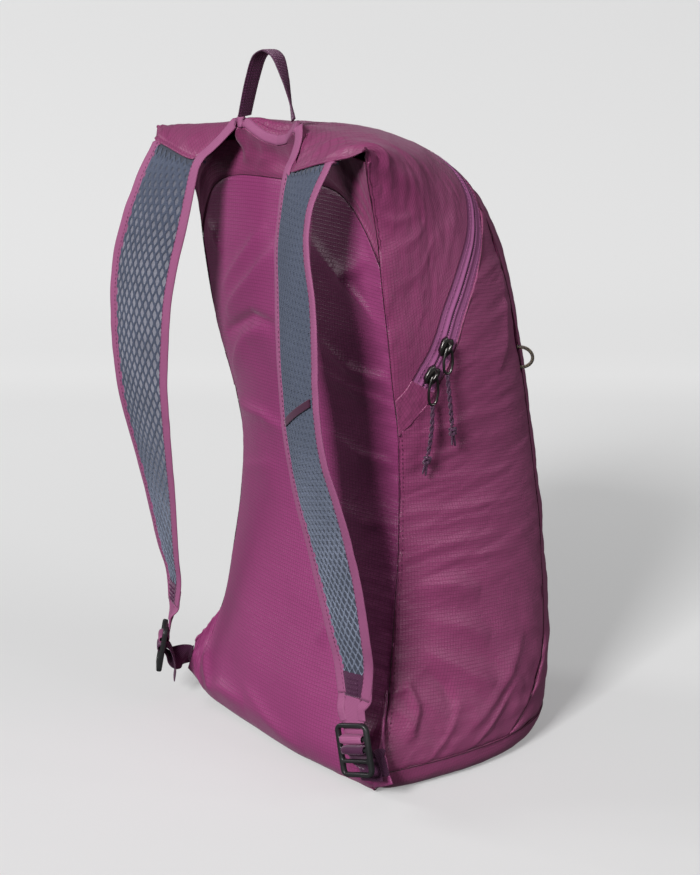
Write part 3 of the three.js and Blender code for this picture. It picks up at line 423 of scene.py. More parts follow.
# Slow changes of shade over a cloth, and a little wear along it.
def makeDriftGroup():
    tree, given, made = newGroup(
        "ShaderNodeTree",
        "shade_drift",
        {"Colour": "Color", "Deep": "Color", "Size": "Float", "Amount": "Float"},
        {"Colour": "Color", "Mask": "Float"},
    )
    slow = maths(tree, "SUBTRACT", noise(tree, given["Size"], 3.0, Roughness=0.55), 0.5)
    fine = maths(tree, "SUBTRACT", noise(tree, 900.0, 2.0), 0.5)
    mask = maths(tree, "MULTIPLY_ADD", slow, 2.2, 0.35)
    mask = maths(tree, "MULTIPLY_ADD", fine, 0.5, mask)
    mask = maths(tree, "MULTIPLY", mask, given["Amount"])
    mask = maths(tree, "MINIMUM", maths(tree, "MAXIMUM", mask, 0.0), 1.0)
    feed(tree, made, {"Colour": blend(tree, mask, given["Colour"], given["Deep"]), "Mask": mask})
    return tree


# Slanting threads of a woven tape, over and under, and where the hollows between them lie, for a painted
# shade.
def makeTwillGroup():
    tree, given, made = newGroup(
        "ShaderNodeTree",
        "twill_threads",
        {"Cloth": "Vector", "Pitch": "Float", "Slant": "Float", "Ribs": "Float"},
        {"Height": "Float", "HollowShade": "Float"},
    )
    x, y = (maths(tree, "DIVIDE", part, given["Pitch"]) for part in split(tree, given["Cloth"])[:2])
    wave = waveOf(tree, maths(tree, "MULTIPLY_ADD", x, given["Slant"], y))
    rib = maths(tree, "MULTIPLY", waveOf(tree, x), given["Ribs"])
    height = maths(tree, "ADD", maths(tree, "MULTIPLY_ADD", wave, 0.5, 0.5), rib)
    gap = maths(tree, "MAXIMUM", maths(tree, "MULTIPLY", wave, -1.0), 0.0)
    feed(tree, made, {"Height": height, "HollowShade": gap})
    return tree


ripstopGroup = makeRipstopGroup()
driftGroup = makeDriftGroup()
twillGroup = makeTwillGroup()


def group(tree, which, **feeds):
    return node(tree, "ShaderNodeGroup", feeds, node_tree=which).outputs


def startMaterial(name, roughness, specular=0.5, sheen=0.0, tint=(1, 1, 1, 1), metallic=0.0):
    material = bpy.data.materials.new(name)
    material.use_nodes = True
    shader = material.node_tree.nodes["Principled BSDF"]
    values = {
        "Roughness": roughness,
        "Specular IOR Level": specular,
        "Metallic": metallic,
        "Sheen Weight": sheen,
        "Sheen Roughness": 0.45,
        "Sheen Tint": tint,
    }
    feed(material.node_tree, shader, values)
    return material, material.node_tree, shader


def clothVector(tree, turn=0.0):
    where = node(tree, "ShaderNodeUVMap", uv_map="cloth").outputs[0]
    return node(tree, "ShaderNodeMapping", {0: where, "Rotation": (0, 0, turn)}).outputs[0]


# A colour with its parts multiplied, by one factor or by three.
def shaded(colour, *factors):
    factors = factors * 3 if len(factors) == 1 else factors
    return tuple(c * k for c, k in sideBySide(colour, factors)) + (1,)


ripstop = {
    "colour": (0.285, 0.05, 0.15),
    "deep": (0.225, 0.038, 0.118),
    "line": (0.12, 0.016, 0.06, 1),
    "pitch": 0.0026,
    "roughness": 0.43,
    "crumple": 0.0004,
    "tint": (1.0, 0.75, 0.9, 1),
}


# shade multiplies the ripstop's colours, to give lit and shaded copies of one cloth: painted light and shade
def makeRipstop(name, turn=0.0, shade=(1, 1, 1)):
    material, tree, shader = startMaterial(name, ripstop["roughness"], 0.5, 0.14, ripstop["tint"])
    colour, deep = shaded(ripstop["colour"], *shade), shaded(ripstop["deep"], *shade)
    drift = group(tree, driftGroup, Colour=colour, Deep=deep, Size=11.0, Amount=0.55)
    grid = group(tree, ripstopGroup, Cloth=clothVector(tree, turn), Pitch=ripstop["pitch"], Line=0.17)
    weight = maths(tree, "MULTIPLY", grid["Lines"], 0.5)
    crumple = bump(tree, noise(tree, 75.0, 4.0, Roughness=0.5, Distortion=0.8), ripstop["crumple"])
    feeds = {
        "Base Color": blend(tree, weight, drift["Colour"], ripstop["line"]),
        "Roughness": maths(tree, "MULTIPLY_ADD", drift["Mask"], 0.14, ripstop["roughness"] - 0.05),
        "Normal": bump(tree, grid["Height"], 0.0001, Normal=crumple),
    }
    feed(tree, shader, feeds)
    return material


def makeWoven(name, colour, deep, pitch, depth, roughness, slant=0.0, ribs=0.0, sheen=0.3):
    material, tree, shader = startMaterial(name, roughness, 0.3, sheen, (1, 0.7, 0.9, 1))
    drift = group(
        tree, driftGroup, Colour=shaded(colour, 1), Deep=shaded(deep, 1), Size=26.0, Amount=0.6
    )
    twill = group(tree, twillGroup, Cloth=clothVector(tree), Pitch=pitch, Slant=slant, Ribs=ribs)
    # the hollows between the threads are painted darker: painted shade
    weight = maths(tree, "MULTIPLY", twill["HollowShade"], 0.45)
    feeds = {
        "Base Color": blend(tree, weight, drift["Colour"], shaded(deep, 0.45)),
        "Normal": bump(tree, twill["Height"], depth),
    }
    feed(tree, shader, feeds)
    return material


def makeMoulded(name, colour, roughness, metallic=0.0):
    material, tree, shader = startMaterial(name, roughness, metallic=metallic)
    wear = noise(tree, 60.0, 4.0)
    worn = tuple(min(c * 1.7 + 0.01, 1) for c in colour) + (1,)
    mask = maths(tree, "MAXIMUM", maths(tree, "SUBTRACT", wear, 0.42), 0.0)
    feeds = {
        "Base Color": blend(tree, maths(tree, "MULTIPLY", mask, 1.8), shaded(colour, 1), worn),
        "Roughness": maths(tree, "MULTIPLY_ADD", wear, 0.22, roughness - 0.1),
        "Normal": bump(tree, noise(tree, 700.0, 3.0), 0.00003),
    }
    feed(tree, shader, feeds)
    return material


# The strap's knit: a lattice of threads whose shade follows how far down the strap it is.
def makeKnit(name, dark, light):
    material, tree, shader = startMaterial(name, 0.8, 0.3, 0.1, (0.75, 0.85, 1.0, 1))
    shade = node(tree, "ShaderNodeAttribute", attribute_name="shade").outputs["Fac"]
    colour = blend(tree, shade, shaded(dark, 1), shaded(light, 1))
    drift = group(tree, driftGroup, Colour=colour, Deep=shaded(dark, 0.6), Size=40.0, Amount=0.35)
    twill = group(tree, twillGroup, Cloth=clothVector(tree), Pitch=0.0011, Slant=0.0, Ribs=0.9)
    feeds = {"Base Color": drift["Colour"], "Normal": bump(tree, twill["Height"], 0.00018)}
    feed(tree, shader, feeds)
    return material


# Braided cord: dark, with short flecks of a second yarn.
def makeCordLook(name, dark, fleck, amount):
    material, tree, shader = startMaterial(name, 0.7, 0.3, 0.3, (1, 0.8, 0.95, 1))
    x, y = (maths(tree, "DIVIDE", part, 0.0011) for part in split(tree, clothVector(tree))[:2])
    one, two = (waveOf(tree, maths(tree, slant, x, y)) for slant in ("ADD", "SUBTRACT"))
    flecks = maths(tree, "GREATER_THAN", maths(tree, "MULTIPLY", one, two), amount)
    feeds = {
        "Base Color": blend(tree, flecks, shaded(dark, 1), shaded(fleck, 1)),
        "Normal": bump(tree, maths(tree, "MAXIMUM", one, two), 0.0002),
    }
    feed(tree, shader, feeds)
    return material


looks = {
    # the back's copy is painted lighter for the light that falls on it, and the hood's darker as painted
    # shade; the base's copy is a little darker
    "back": makeRipstop("ripstop_back", 0.0, (1.08, 0.95, 1.16)),
    "side": makeRipstop("ripstop_side", math.radians(-4)),
    "front": makeRipstop("ripstop_front"),
    "hood": makeRipstop("ripstop_hood", math.radians(38), (0.94, 0.9, 0.94)),
    "yoke": makeRipstop("ripstop_yoke", math.radians(12)),
    "base": makeRipstop("ripstop_base", math.radians(3), (0.95, 0.95, 0.95)),
    "binding": makeWoven(
        "edge_binding",
        (0.35, 0.1, 0.225), (0.29, 0.08, 0.185),
        pitch=0.0009, depth=0.00006, roughness=0.62, sheen=0.1,
    ),
    "tape": makeWoven(
        "zip_tape",
        (0.38, 0.11, 0.28), (0.32, 0.09, 0.23),
        pitch=0.0008, depth=0.00006, roughness=0.5, slant=0.9, sheen=0.12,
    ),
    "webbing": makeWoven(
        "webbing",
        (0.075, 0.014, 0.055), (0.045, 0.009, 0.035),
        pitch=0.0016, depth=0.0002, roughness=0.75, slant=1.0,
    ),
    "haul": makeWoven(
        "haul_webbing",
        (0.085, 0.015, 0.06), (0.05, 0.009, 0.037),
        pitch=0.0021, depth=0.0003, roughness=0.75, ribs=0.7,
    ),
    "label": makeWoven(
        "label_band",
        (0.06, 0.011, 0.036), (0.045, 0.009, 0.03),
        pitch=0.0006, depth=0.00004, roughness=0.6,
    ),
    "knit": makeKnit("knit_threads", (0.075, 0.09, 0.14), (0.3, 0.34, 0.45)),
    "ground": makeKnit("knit_ground", (0.045, 0.053, 0.08), (0.3, 0.3, 0.36)),
    "plastic": makeMoulded("moulded_plastic", (0.017, 0.017, 0.018), 0.38),
    "metal": makeMoulded("gunmetal", (0.11, 0.105, 0.1), 0.32, metallic=1.0),
    "cord": makeCordLook("cord_purple", (0.035, 0.009, 0.03), (0.15, 0.03, 0.12), 0.3),
    "loop": makeCordLook("cord_flecked", (0.012, 0.011, 0.012), (0.5, 0.42, 0.2), 0.62),
    "thread": makeMoulded("sewing_thread", (0.13, 0.025, 0.075), 0.6),
    "seam": makeMoulded("seam_shadow", (0.03, 0.004, 0.014), 0.8),
    "teeth": makeMoulded("zip_teeth", (0.035, 0.009, 0.028), 0.45),
}
print("materials made")


def addObject(name, data):
    made = bpy.data.objects.new(name, data)
    bpy.context.collection.objects.link(made)
    return made


def buildMesh(name, points, faces, uvs, look):
    mesh = bpy.data.meshes.new(name)
    mesh.from_pydata(place(points).tolist(), [], faces if isinstance(faces, list) else faces.tolist())
    layer = mesh.uv_layers.new(name="cloth")
    index = np.zeros(len(mesh.loops), np.int32)
    mesh.loops.foreach_get("vertex_index", index)
    layer.data.foreach_set("uv", (np.asarray(uvs)[index] / 1000).astype(np.float32).ravel())
    mesh.polygons.foreach_set("use_smooth", np.ones(len(mesh.polygons), bool))
    mesh.materials.append(looks[look])
    mesh.update()
    return addObject(name, mesh)


# Turns a piece's faces outwards; merge first joins the points that lie on each other.
def outwards(piece, merge=False):
    bpy.context.view_layer.objects.active = piece
    bpy.ops.object.select_all(action="DESELECT")
    piece.select_set(True)
    bpy.ops.object.mode_set(mode="EDIT")
    bpy.ops.mesh.select_all(action="SELECT")
    if merge:
        bpy.ops.mesh.remove_doubles(threshold=0.00001)
    bpy.ops.mesh.normals_make_consistent(inside=False)
    bpy.ops.object.mode_set(mode="OBJECT")
    return piece


def quads(rows, cols, start, ring=False, flip=False):
    i, j = np.meshgrid(np.arange(rows - 1), np.arange(cols if ring else cols - 1), indexing="ij")
    n = (j + 1) % cols
    q = np.stack([i * cols + j, i * cols + n, (i + 1) * cols + n, (i + 1) * cols + j], -1)
    q = q.reshape(-1, 4) + start
    return q[:, ::-1] if flip else q


def gridNormals(p):
    du = np.gradient(p, axis=1)
    dv = np.gradient(p, axis=0)
    return unit(np.cross(du, dv))


# The lengths run along a grid's rows and down its columns.
def lengths(p):
    s = np.zeros(p.shape[:2])
    s[:, 1:] = np.cumsum(np.linalg.norm(np.diff(p, axis=1), axis=-1), axis=1)
    t = np.zeros(p.shape[:2])
    t[1:] = np.cumsum(np.linalg.norm(np.diff(p, axis=0), axis=-1), axis=0)
    return s, t


# The length run along one line, at each of its points.
def runOf(line):
    return np.concatenate([[0], np.cumsum(np.linalg.norm(np.diff(line, axis=0), axis=1))])


def pairsOf(line):
    return [(line[i], line[i + 1]) for i in range(len(line) - 1)]


def evenly(n, a=0.0, b=1.0):
    return np.linspace(a, b, n + 1)


# The faces of a thin shell: an outer grid of points, an inner one, and the wall between their edges.
def shellFaces(rows, cols):
    n = rows * cols
    faces = [quads(rows, cols, 0), quads(rows, cols, n, flip=True)]
    for line in (
        np.arange(cols),
        np.arange(rows) * cols + cols - 1,
        (np.arange(cols) + (rows - 1) * cols)[::-1],
        (np.arange(rows) * cols)[::-1],
    ):
        faces.append(np.stack([line[:-1], line[:-1] + n, line[1:] + n, line[1:]], -1))
    return np.concatenate(faces)


# Smooth noise on a random lattice: the same each run for one seed.
def drift(x, y, seed):
    lattice = np.random.default_rng(seed).uniform(-1, 1, (97, 97))
    xi, yi = np.floor(x).astype(int), np.floor(y).astype(int)
    fx, fy = smooth(x - xi), smooth(y - yi)

    def pick(a, b):
        return lattice[a % 97, b % 97]

    low = mix(pick(xi, yi), pick(xi + 1, yi), fx)
    high = mix(pick(xi, yi + 1), pick(xi + 1, yi + 1), fx)
    return mix(low, high, fy)


def foldNoise(x, y, seed):
    return drift(x, y, seed) + 0.5 * drift(x * 2.1 + 7, y * 2.1, seed + 1)


# A panel's grid: u and v, and s and t, the lengths along it in millimetres.
class Grid:
    def __init__(self, u, v, s, t):
        self.u, self.v, self.s, self.t = u, v, s, t

    def spot(self, at):
        i = np.abs(self.v[:, 0] - at[1]).argmin()
        j = np.abs(self.u[i] - at[0]).argmin()
        return np.array((self.s[i, j], self.t[i, j]))


# A ridge, or a valley if its height is negative, along a bent line of (u, v) points.
# lean makes one flank longer.
def crease(grid, line, width, height, lean):
    at = [grid.spot(p) for p in line]
    s, t = grid.s, grid.t
    best, run, done = np.full(s.shape, 1e9), np.zeros(s.shape), 0.0
    flank = np.ones(s.shape)
    for a, b in pairsOf(at):
        d = b - a
        long = max(np.hypot(*d), 1e-6)
        k = np.clip(((s - a[0]) * d[0] + (t - a[1]) * d[1]) / long**2, 0, 1)
        far = np.hypot(s - a[0] - k * d[0], t - a[1] - k * d[1])
        near = far < best
        best = np.where(near, far, best)
        run = np.where(near, done + k * long, run)
        turn = (s - a[0]) * d[1] - (t - a[1]) * d[0]
        flank = np.where(near, np.where(turn > 0, lean, 1.0), flank)
        done += long
    fade = np.sin(np.pi * np.clip(run / done, 0.015, 0.985)) ** 0.7
    rounded = np.sqrt(best**2 + (0.35 * width) ** 2) - 0.35 * width
    return height * fade * np.exp(-((rounded / (width * flank)) ** 1.35))


def creases(grid, listed):
    return sum(crease(grid, *one) for one in listed)


def rideAs(piece, slot, *nodes):
    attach(piece, "root")
    if nodes:
        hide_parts(*nodes)
    return piece


# One sewn panel: its skin, its folds and its wall, in millimetres; it takes the CAD node's place.
def clothPiece(name, cadNode, slot, look, at, us, vs, folds=None, wall=pack["cloth"], soften=None):
    u, v = np.meshgrid(us, vs)
    p = at(u, v)
    if soften is not None:
        p = soften(p, u, v)
    s, t = lengths(p)
    s -= s[:, s.shape[1] // 2][:, None]
    raised = folds(u, v, s, t) if folds is not None else np.zeros(s.shape)
    outer = p + gridNormals(p) * raised[..., None]
    inner = outer - gridNormals(outer) * wall
    points = np.concatenate([outer.reshape(-1, 3), inner.reshape(-1, 3)])
    uvs = np.concatenate([np.stack([s, t], -1).reshape(-1, 2)] * 2)
    return rideAs(buildMesh(name, points, shellFaces(*s.shape), uvs, look), slot, cadNode)


def edgeDip(d, depth, width):
    return -depth * np.exp(-((d / width) ** 2))


# How far each point is from the panel's four edges.
def panelSpans(s, t):
    return s - s[:, :1], s[:, -1:] - s, t - t[:1], t[-1:] - t


# Short wrinkles that run away from a seam.
def puckers(d, along, seed, depth, reach, pitch):
    wave = foldNoise(along / pitch, d / (reach * 1.3), seed)
    return depth * wave * np.exp(-d / reach)


# Folds: a line of (u, v) points, its width and height in mm, and how much longer its second flank is.
sideFoldLines = [
    ([(0.07, 0.53), (0.247, 0.464), (0.4, 0.38)], 4.0, 1.6, 2.2),
    ([(0.12, 0.42), (0.289, 0.345), (0.46, 0.26)], 4.5, 1.5, 2.0),
    ([(0.1, 0.345), (0.301, 0.24), (0.52, 0.15)], 4.5, 1.9, 2.2),
    ([(0.13, 0.29), (0.226, 0.21), (0.28, 0.14)], 3.5, -1.6, 1.6),
    ([(0.01, 0.25), (0.063, 0.258), (0.109, 0.19), (0.121, 0.11)], 2.6, 2.0, 1.8),
    ([(0.03, 0.205), (0.092, 0.15), (0.15, 0.09)], 2.4, 1.5, 1.6),
    ([(0.0, 0.84), (0.238, 0.737), (0.7, 0.57)], 2.4, 0.7, 2.5),
    ([(0.0, 0.8), (0.3, 0.69), (0.55, 0.6)], 1.8, 0.5, 2.0),
    ([(0.0, 0.755), (0.23, 0.664), (0.76, 0.49)], 2.2, 0.8, 2.5),
    ([(0.02, 0.7), (0.3, 0.6), (0.66, 0.48)], 1.8, 0.55, 2.0),
    ([(0.0, 0.66), (0.176, 0.602), (0.56, 0.46)], 2.4, 0.7, 2.2),
    ([(0.15, 0.56), (0.385, 0.47), (0.7, 0.4)], 2.0, 0.6, 2.2),
    ([(0.013, 0.98), (0.197, 0.892), (0.607, 0.72)], 2.6, 0.6, 2.4),
    ([(0.72, 0.24), (0.573, 0.128), (0.45, 0.05)], 5.0, 1.3, 2.0),
    ([(0.98, 0.9), (0.8, 0.8), (0.62, 0.78)], 3.0, 0.8, 2.0),
    ([(0.3, 0.0), (0.33, 0.07), (0.3, 0.16)], 3.0, 1.0, 1.6),
    ([(0.6, 0.0), (0.64, 0.06), (0.7, 0.13)], 3.2, 0.9, 1.6),
]


def rightSideFolds(u, v, s, t):
    a, b, c, _ = panelSpans(s, t)
    low = np.clip(1 - v / 0.55, 0, 1)
    high = np.clip((v - 0.25) * 3, 0.15, 1)
    r = 1.8 * creases(Grid(u, v, s, t), sideFoldLines)
    r += 0.6 * foldNoise(s / 70, t / 38, 11)
    r += 0.5 * foldNoise((s + t * 0.3) / 55, (t - s * 0.3) / 6.5, 12) * high
    r += 1.3 * low * foldNoise((s - t * 0.4) / 34, (t + s * 0.55) / 15, 13)
    r += puckers(a, t, 14, 0.5, 10, 6)
    r += puckers(b, t, 15, 0.4, 8, 7)
    r += puckers(c, s, 16, 0.35, 13, 8)
    r += edgeDip(a, 1.2, 2.4) + edgeDip(b, 0.8, 2.0) + edgeDip(c, 1.0, 2.2)
    return r


def leftSideFolds(u, v, s, t):
    return rightSideFolds(1 - u[:, ::-1], v, -s[:, ::-1], t)[:, ::-1]


def frontFolds(u, v, s, t):
    a, b, c, _ = panelSpans(s, t)
    low = np.clip(1 - v / 0.5, 0, 1)
    r = 0.9 * foldNoise(s / 60, t / 45, 21)
    r += 1.1 * low * foldNoise((s + t * 0.3) / 40, (t - s * 0.2) / 18, 22)
    r += 0.4 * foldNoise(s / 60, t / 7, 23)
    for span, seed in ((a, 24), (b, 25)):
        r += puckers(span, t, seed, 0.4, 8, 7) + edgeDip(span, 1.0, 2.2)
    r += puckers(c, s, 26, 0.35, 13, 8) + edgeDip(c, 1.0, 2.2)
    return r


# The hood's folds on its right half; the left half has them mirrored, a little weaker.
hoodFoldLines = [
    ([(0.2, 0.76), (0.1, 0.73), (0.052, 0.68)], 2.6, 1.2, 1.8),
    ([(0.036, 0.73), (0.051, 0.62), (0.03, 0.5)], 3.0, 1.2, 1.8),
    ([(0.055, 0.69), (0.08, 0.57), (0.13, 0.45)], 3.6, 1.3, 2.0),
    ([(0.02, 0.66), (0.03, 0.58), (0.012, 0.52)], 2.2, -1.0, 1.5),
    ([(0.36, 0.64), (0.224, 0.66), (0.13, 0.48)], 6.0, 1.2, 2.0),
    ([(0.006, 0.5), (0.033, 0.455), (0.075, 0.425)], 2.4, 0.9, 1.8),
    ([(0.01, 0.4), (0.05, 0.36), (0.1, 0.35)], 2.6, 0.6, 1.8),
    ([(0.006, 0.3), (0.05, 0.25), (0.12, 0.24)], 3.0, 0.5, 2.0),
    ([(0.06, 0.8), (0.085, 0.87), (0.1, 0.96)], 2.6, -1.2, 1.6),
    ([(0.13, 0.78), (0.14, 0.87), (0.15, 0.97)], 2.6, 1.1, 1.6),
    ([(0.2, 0.82), (0.22, 0.9), (0.235, 0.99)], 2.2, -1.0, 1.6),
    ([(0.27, 0.76), (0.29, 0.86), (0.3, 0.98)], 2.6, 1.0, 1.6),
    ([(0.4, 0.76), (0.41, 0.86), (0.4, 0.97)], 3.0, 0.9, 1.6),
]


def hoodFolds(u, v, s, t):
    a, b, c, d = panelSpans(s, t)
    grid = Grid(u, v, s, t)
    mirrored = [([(1 - x, y + 0.012) for x, y in line], *sizes) for line, *sizes in hoodFoldLines]
    calm = np.clip(c / 18, 0, 1)
    r = 1.3 * creases(grid, hoodFoldLines)
    r += 0.8 * creases(grid, mirrored)
    r += 0.9 * foldNoise(s / 46, t / 40, 31) * calm
    r += 0.5 * foldNoise((s + t) / 24, (t - s) / 11, 32) * calm
    ends = np.minimum(a, b)
    r += puckers(ends, t, 33, 0.3, 8, 6) + edgeDip(ends, 0.8, 2.2)
    r += 0.3 * np.exp(-((d / 20) ** 2)) * foldNoise(s / 9, d / 40, 34)
    r *= 1 - np.exp(-((d / 5) ** 2))
    # the hem's stitch line
    return r + edgeDip(d - 3.2, 0.5, 0.7)


backFoldLines = [
    ([(-0.72, 0.755), (-0.298, 0.815), (0.03, 0.885)], 3.6, 2.0, 2.4),
    ([(-0.75, 0.8), (-0.378, 0.855), (-0.12, 0.915)], 3.4, 1.4, 2.2),
    ([(-0.8, 0.73), (-0.333, 0.75), (0.0, 0.742)], 3.2, -2.0, 1.8),
    ([(-0.86, 0.66), (-0.454, 0.712), (-0.1, 0.74)], 4.0, 1.7, 2.2),
    ([(-0.9, 0.62), (-0.398, 0.579), (0.0, 0.558)], 3.4, 1.5, 2.2),
    ([(-0.95, 0.5), (-0.6, 0.48), (-0.2, 0.5)], 4.0, 0.9, 2.2),
    ([(0.34, 0.9), (0.639, 0.862), (0.9, 0.855)], 3.0, 1.6, 2.2),
    ([(0.42, 0.74), (0.679, 0.715), (0.85, 0.735), (0.985, 0.785)], 3.0, 1.7, 2.4),
    ([(0.36, 0.69), (0.699, 0.676), (0.96, 0.725)], 3.0, 1.0, 2.0),
    ([(0.45, 0.58), (0.7, 0.57), (0.96, 0.62)], 3.0, 1.0, 2.0),
    ([(0.44, 0.24), (0.534, 0.276), (0.68, 0.315)], 3.0, 1.3, 2.0),
    ([(-0.92, 0.03), (-0.579, 0.07), (-0.25, 0.075)], 5.0, 1.8, 2.0),
    ([(-0.97, 0.14), (-0.86, 0.1), (-0.7, 0.05)], 3.4, 1.8, 1.8),
    ([(-0.3, 0.11), (0.093, 0.06), (0.4, 0.03)], 5.0, 1.2, 2.0),
    ([(0.97, 0.16), (0.86, 0.11), (0.78, 0.04)], 3.4, 1.8, 1.8),
    ([(0.93, 0.5), (0.75, 0.46), (0.5, 0.47)], 4.0, 0.8, 2.0),
    ([(0.9, 0.97), (0.8, 0.9), (0.62, 0.86)], 3.4, 1.2, 2.0),
    ([(-0.9, 0.97), (-0.8, 0.92), (-0.72, 0.86)], 3.4, 1.2, 2.0),
]


def backFolds(u, v, s, t):
    a, b, _, d = panelSpans(s, t)
    r = 2.1 * creases(Grid(u, v, s, t), backFoldLines)
    r += 1.0 * foldNoise(s / 60, t / 50, 41)
    r += 0.06 * foldNoise(s / 60, t / 6.5, 42)
    r += puckers(b, t, 43, 0.8, 20, 4.6) * np.clip(b / 4, 0, 1)
    r += puckers(a, t, 44, 0.5, 20, 6) * np.clip(a / 8, 0, 1)
    r += edgeDip(a, 1.0, 2.4) + edgeDip(b, 1.0, 2.4) + edgeDip(d, 0.6, 1.6)
    return r


yokeFoldLines = [
    ([(-0.46, 0.2), (-0.3, 0.55), (-0.2, 0.97)], 3.0, 1.3, 2.0),
    ([(-0.3, 0.12), (-0.18, 0.5), (-0.13, 0.97)], 2.6, 1.2, 2.0),
    ([(-0.1, 0.2), (-0.06, 0.6), (-0.04, 0.97)], 3.0, -0.8, 2.0),
    ([(0.12, 0.1), (0.12, 0.5), (0.08, 0.95)], 3.0, 0.9, 2.0),
    ([(0.45, 0.95), (0.72, 0.5), (0.97, 0.4)], 3.0, 1.6, 2.0),
    ([(0.5, 0.5), (0.75, 0.3), (0.98, 0.2)], 2.6, 1.3, 2.0),
    ([(0.6, 0.1), (0.8, 0.12), (0.98, 0.02)], 2.2, 1.1, 2.0),
    ([(-0.5, 0.9), (-0.75, 0.5), (-0.97, 0.3)], 3.0, 1.3, 2.0),
]


def yokeFolds(u, v, s, t):
    _, b, c, _ = panelSpans(s, t)
    r = creases(Grid(u, v, s, t), yokeFoldLines) + 0.6 * foldNoise(s / 26, t / 13, 51)
    return r + puckers(b, t, 52, 0.9, 10, 4) + edgeDip(c, 1.2, 2.2) + edgeDip(b, 1.0, 2.4)


# Rounds the crease along the hood's ridge, but holds the hood's two ends.
def softenHood(p, u, v):
    row = np.exp(-(((v[:, :1] - ridgeAt) / 0.05) ** 2))[..., None]
    hold = np.clip(np.minimum(u, 1 - u) / 0.02, 0, 1)[..., None]
    for _ in range(60):
        q = p.copy()
        q[1:-1] = (p[:-2] + 2 * p[1:-1] + p[2:]) / 4
        p = mix(p, q, row * hold)
    return p


rightPanel = lowerPanel(sideStart, cornerTop, lambda v: 0 * v, corner)


def farCorner(v):
    return 1 - corner(v)


def makePanels():
    left = lowerPanel(1 - cornerTop, 1 - sideStart, farCorner, lambda v: 1 + 0 * v)
    front = lowerPanel(cornerTop, 1 - cornerTop, corner, farCorner)
    cols, rows = evenly(110), evenly(210)
    clothPiece(
        "side_cloth_right", "side_panel_right", "body", "side", rightPanel, cols, rows, rightSideFolds
    )
    clothPiece("side_cloth_left", "side_panel_left", "body", "side", left, cols, rows, leftSideFolds)
    clothPiece("front_cloth", "front_panel", "body", "front", front, evenly(140), rows, frontFolds)
    clothPiece(
        "hood_cloth",
        "hood_panel",
        "body",
        "hood",
        hoodSkin,
        evenly(330),
        np.concatenate([evenly(90, 0, ridgeAt), evenly(44, ridgeAt, 1)[1:]]),
        hoodFolds,
        soften=softenHood,
    )

    # the back's lowest edge draws in a little, where the base's corners are round
    def back(u, v):
        return backSkin(u * (1 - 0.03 * (1 - v) ** 30), mix(0.024, archLevel(u), v))

    across = evenly(150, -0.998, 0.998)
    clothPiece("back_cloth", "back_panel", "body", "back", back, across, evenly(270), backFolds)
    across = evenly(170, -0.998, 0.998)
    clothPiece(
        "upper_back_cloth", "upper_back_panel", "body", "yoke", upperBack, across, evenly(60), yokeFolds
    )


makePanels()
print("panels made")

baseCloth = {"rings": 22, "edgeRows": 26, "front": 150, "back": 90, "low": 0.02, "round": 6}


# The base: rings from its middle out to its rim, then rows up to its seams, rounder at the back's corners.
def makeBase():
    ts = evenly(baseCloth["front"])
    ss = evenly(baseCloth["back"], -1, 1)[1:-1]

    def ring(level):
        low = backSkin(ss, level * baseCloth["low"])
        return np.concatenate([frontSkin(ts, level * baseLevel), low])

    middle = np.array([0.0, pack["middle"], 0.0])
    flat = [mix(middle, ring(0.0), share) for share in evenly(baseCloth["rings"], 0.04, 1)[:-1]]
    outer = np.array(flat + [ring(share) for share in evenly(baseCloth["edgeRows"])])
    outer[:, :, 2] = np.maximum(outer[:, :, 2], 0)
    rows, cols = outer.shape[:2]
    j = np.arange(cols)
    share = np.concatenate([np.zeros(baseCloth["rings"]), evenly(baseCloth["edgeRows"])])[:, None, None]
    near = np.minimum(np.minimum(j, cols - j), np.abs(j - baseCloth["front"]))
    hold = (1 - share**1.5) * np.exp(-((near / 6.0) ** 2))[None, :, None] * (1, 1, 0)
    for _ in range(baseCloth["round"]):
        outer = mix(outer, (np.roll(outer, 1, 1) + np.roll(outer, -1, 1)) / 2, 0.9 * hold)
    s = np.broadcast_to(runOf(outer[-1]), (rows, cols))
    t = lengths(outer)[1]
    normal = -unit(np.cross(np.roll(outer, -1, 1) - np.roll(outer, 1, 1), np.gradient(outer, axis=0)))
    normal *= np.where((normal[-4] * (outer[-4] - middle)).sum(-1).mean() < 0, -1, 1)
    edge = np.clip((np.arange(rows) - baseCloth["rings"]) / 8, 0, 1)[:, None]
    raised = edge * (0.5 * foldNoise(s / 26, t / 14, 61) + 0.2 * foldNoise(s / 9, t / 12, 62))
    outer = outer + normal * raised[..., None]
    outer[:, :, 2] = np.maximum(outer[:, :, 2], 0)
    inner = outer - normal * pack["cloth"]
    inner[:, :, 2] = np.maximum(inner[:, :, 2], pack["cloth"])
    n = rows * cols
    ends = [middle], [middle + (0, 0, pack["cloth"])]
    points = np.concatenate([outer.reshape(-1, 3), inner.reshape(-1, 3), *ends])
    after = (j + 1) % cols
    last = (rows - 1) * cols
    faces = [
        quads(rows, cols, 0, True),
        quads(rows, cols, n, True, True),
        np.stack([last + j, last + after, last + after + n, last + j + n], -1),
        np.stack([after, j, np.full(cols, 2 * n)], -1),
        np.stack([n + j, n + after, np.full(cols, 2 * n + 1)], -1),
    ]
    uv = np.stack([s, t], -1).reshape(-1, 2)
    uvs = np.concatenate([uv, uv, [[0, 0]], [[0, 0]]])
    piece = buildMesh("base_cloth", points, sum((f.tolist() for f in faces), []), uvs, "base")
    rideAs(outwards(piece), "body", "base_panel")


makeBase()
print("base made")


# A smooth line through a few rows of numbers, by the distance between them.
def smoothRows(rows, n):
    rows = np.asarray(rows, float)
    run = runOf(rows[:, :3])
    out = np.linspace(0, run[-1], n)
    return np.stack([through(run, column, soft=True)(out) for column in rows.T], -1)


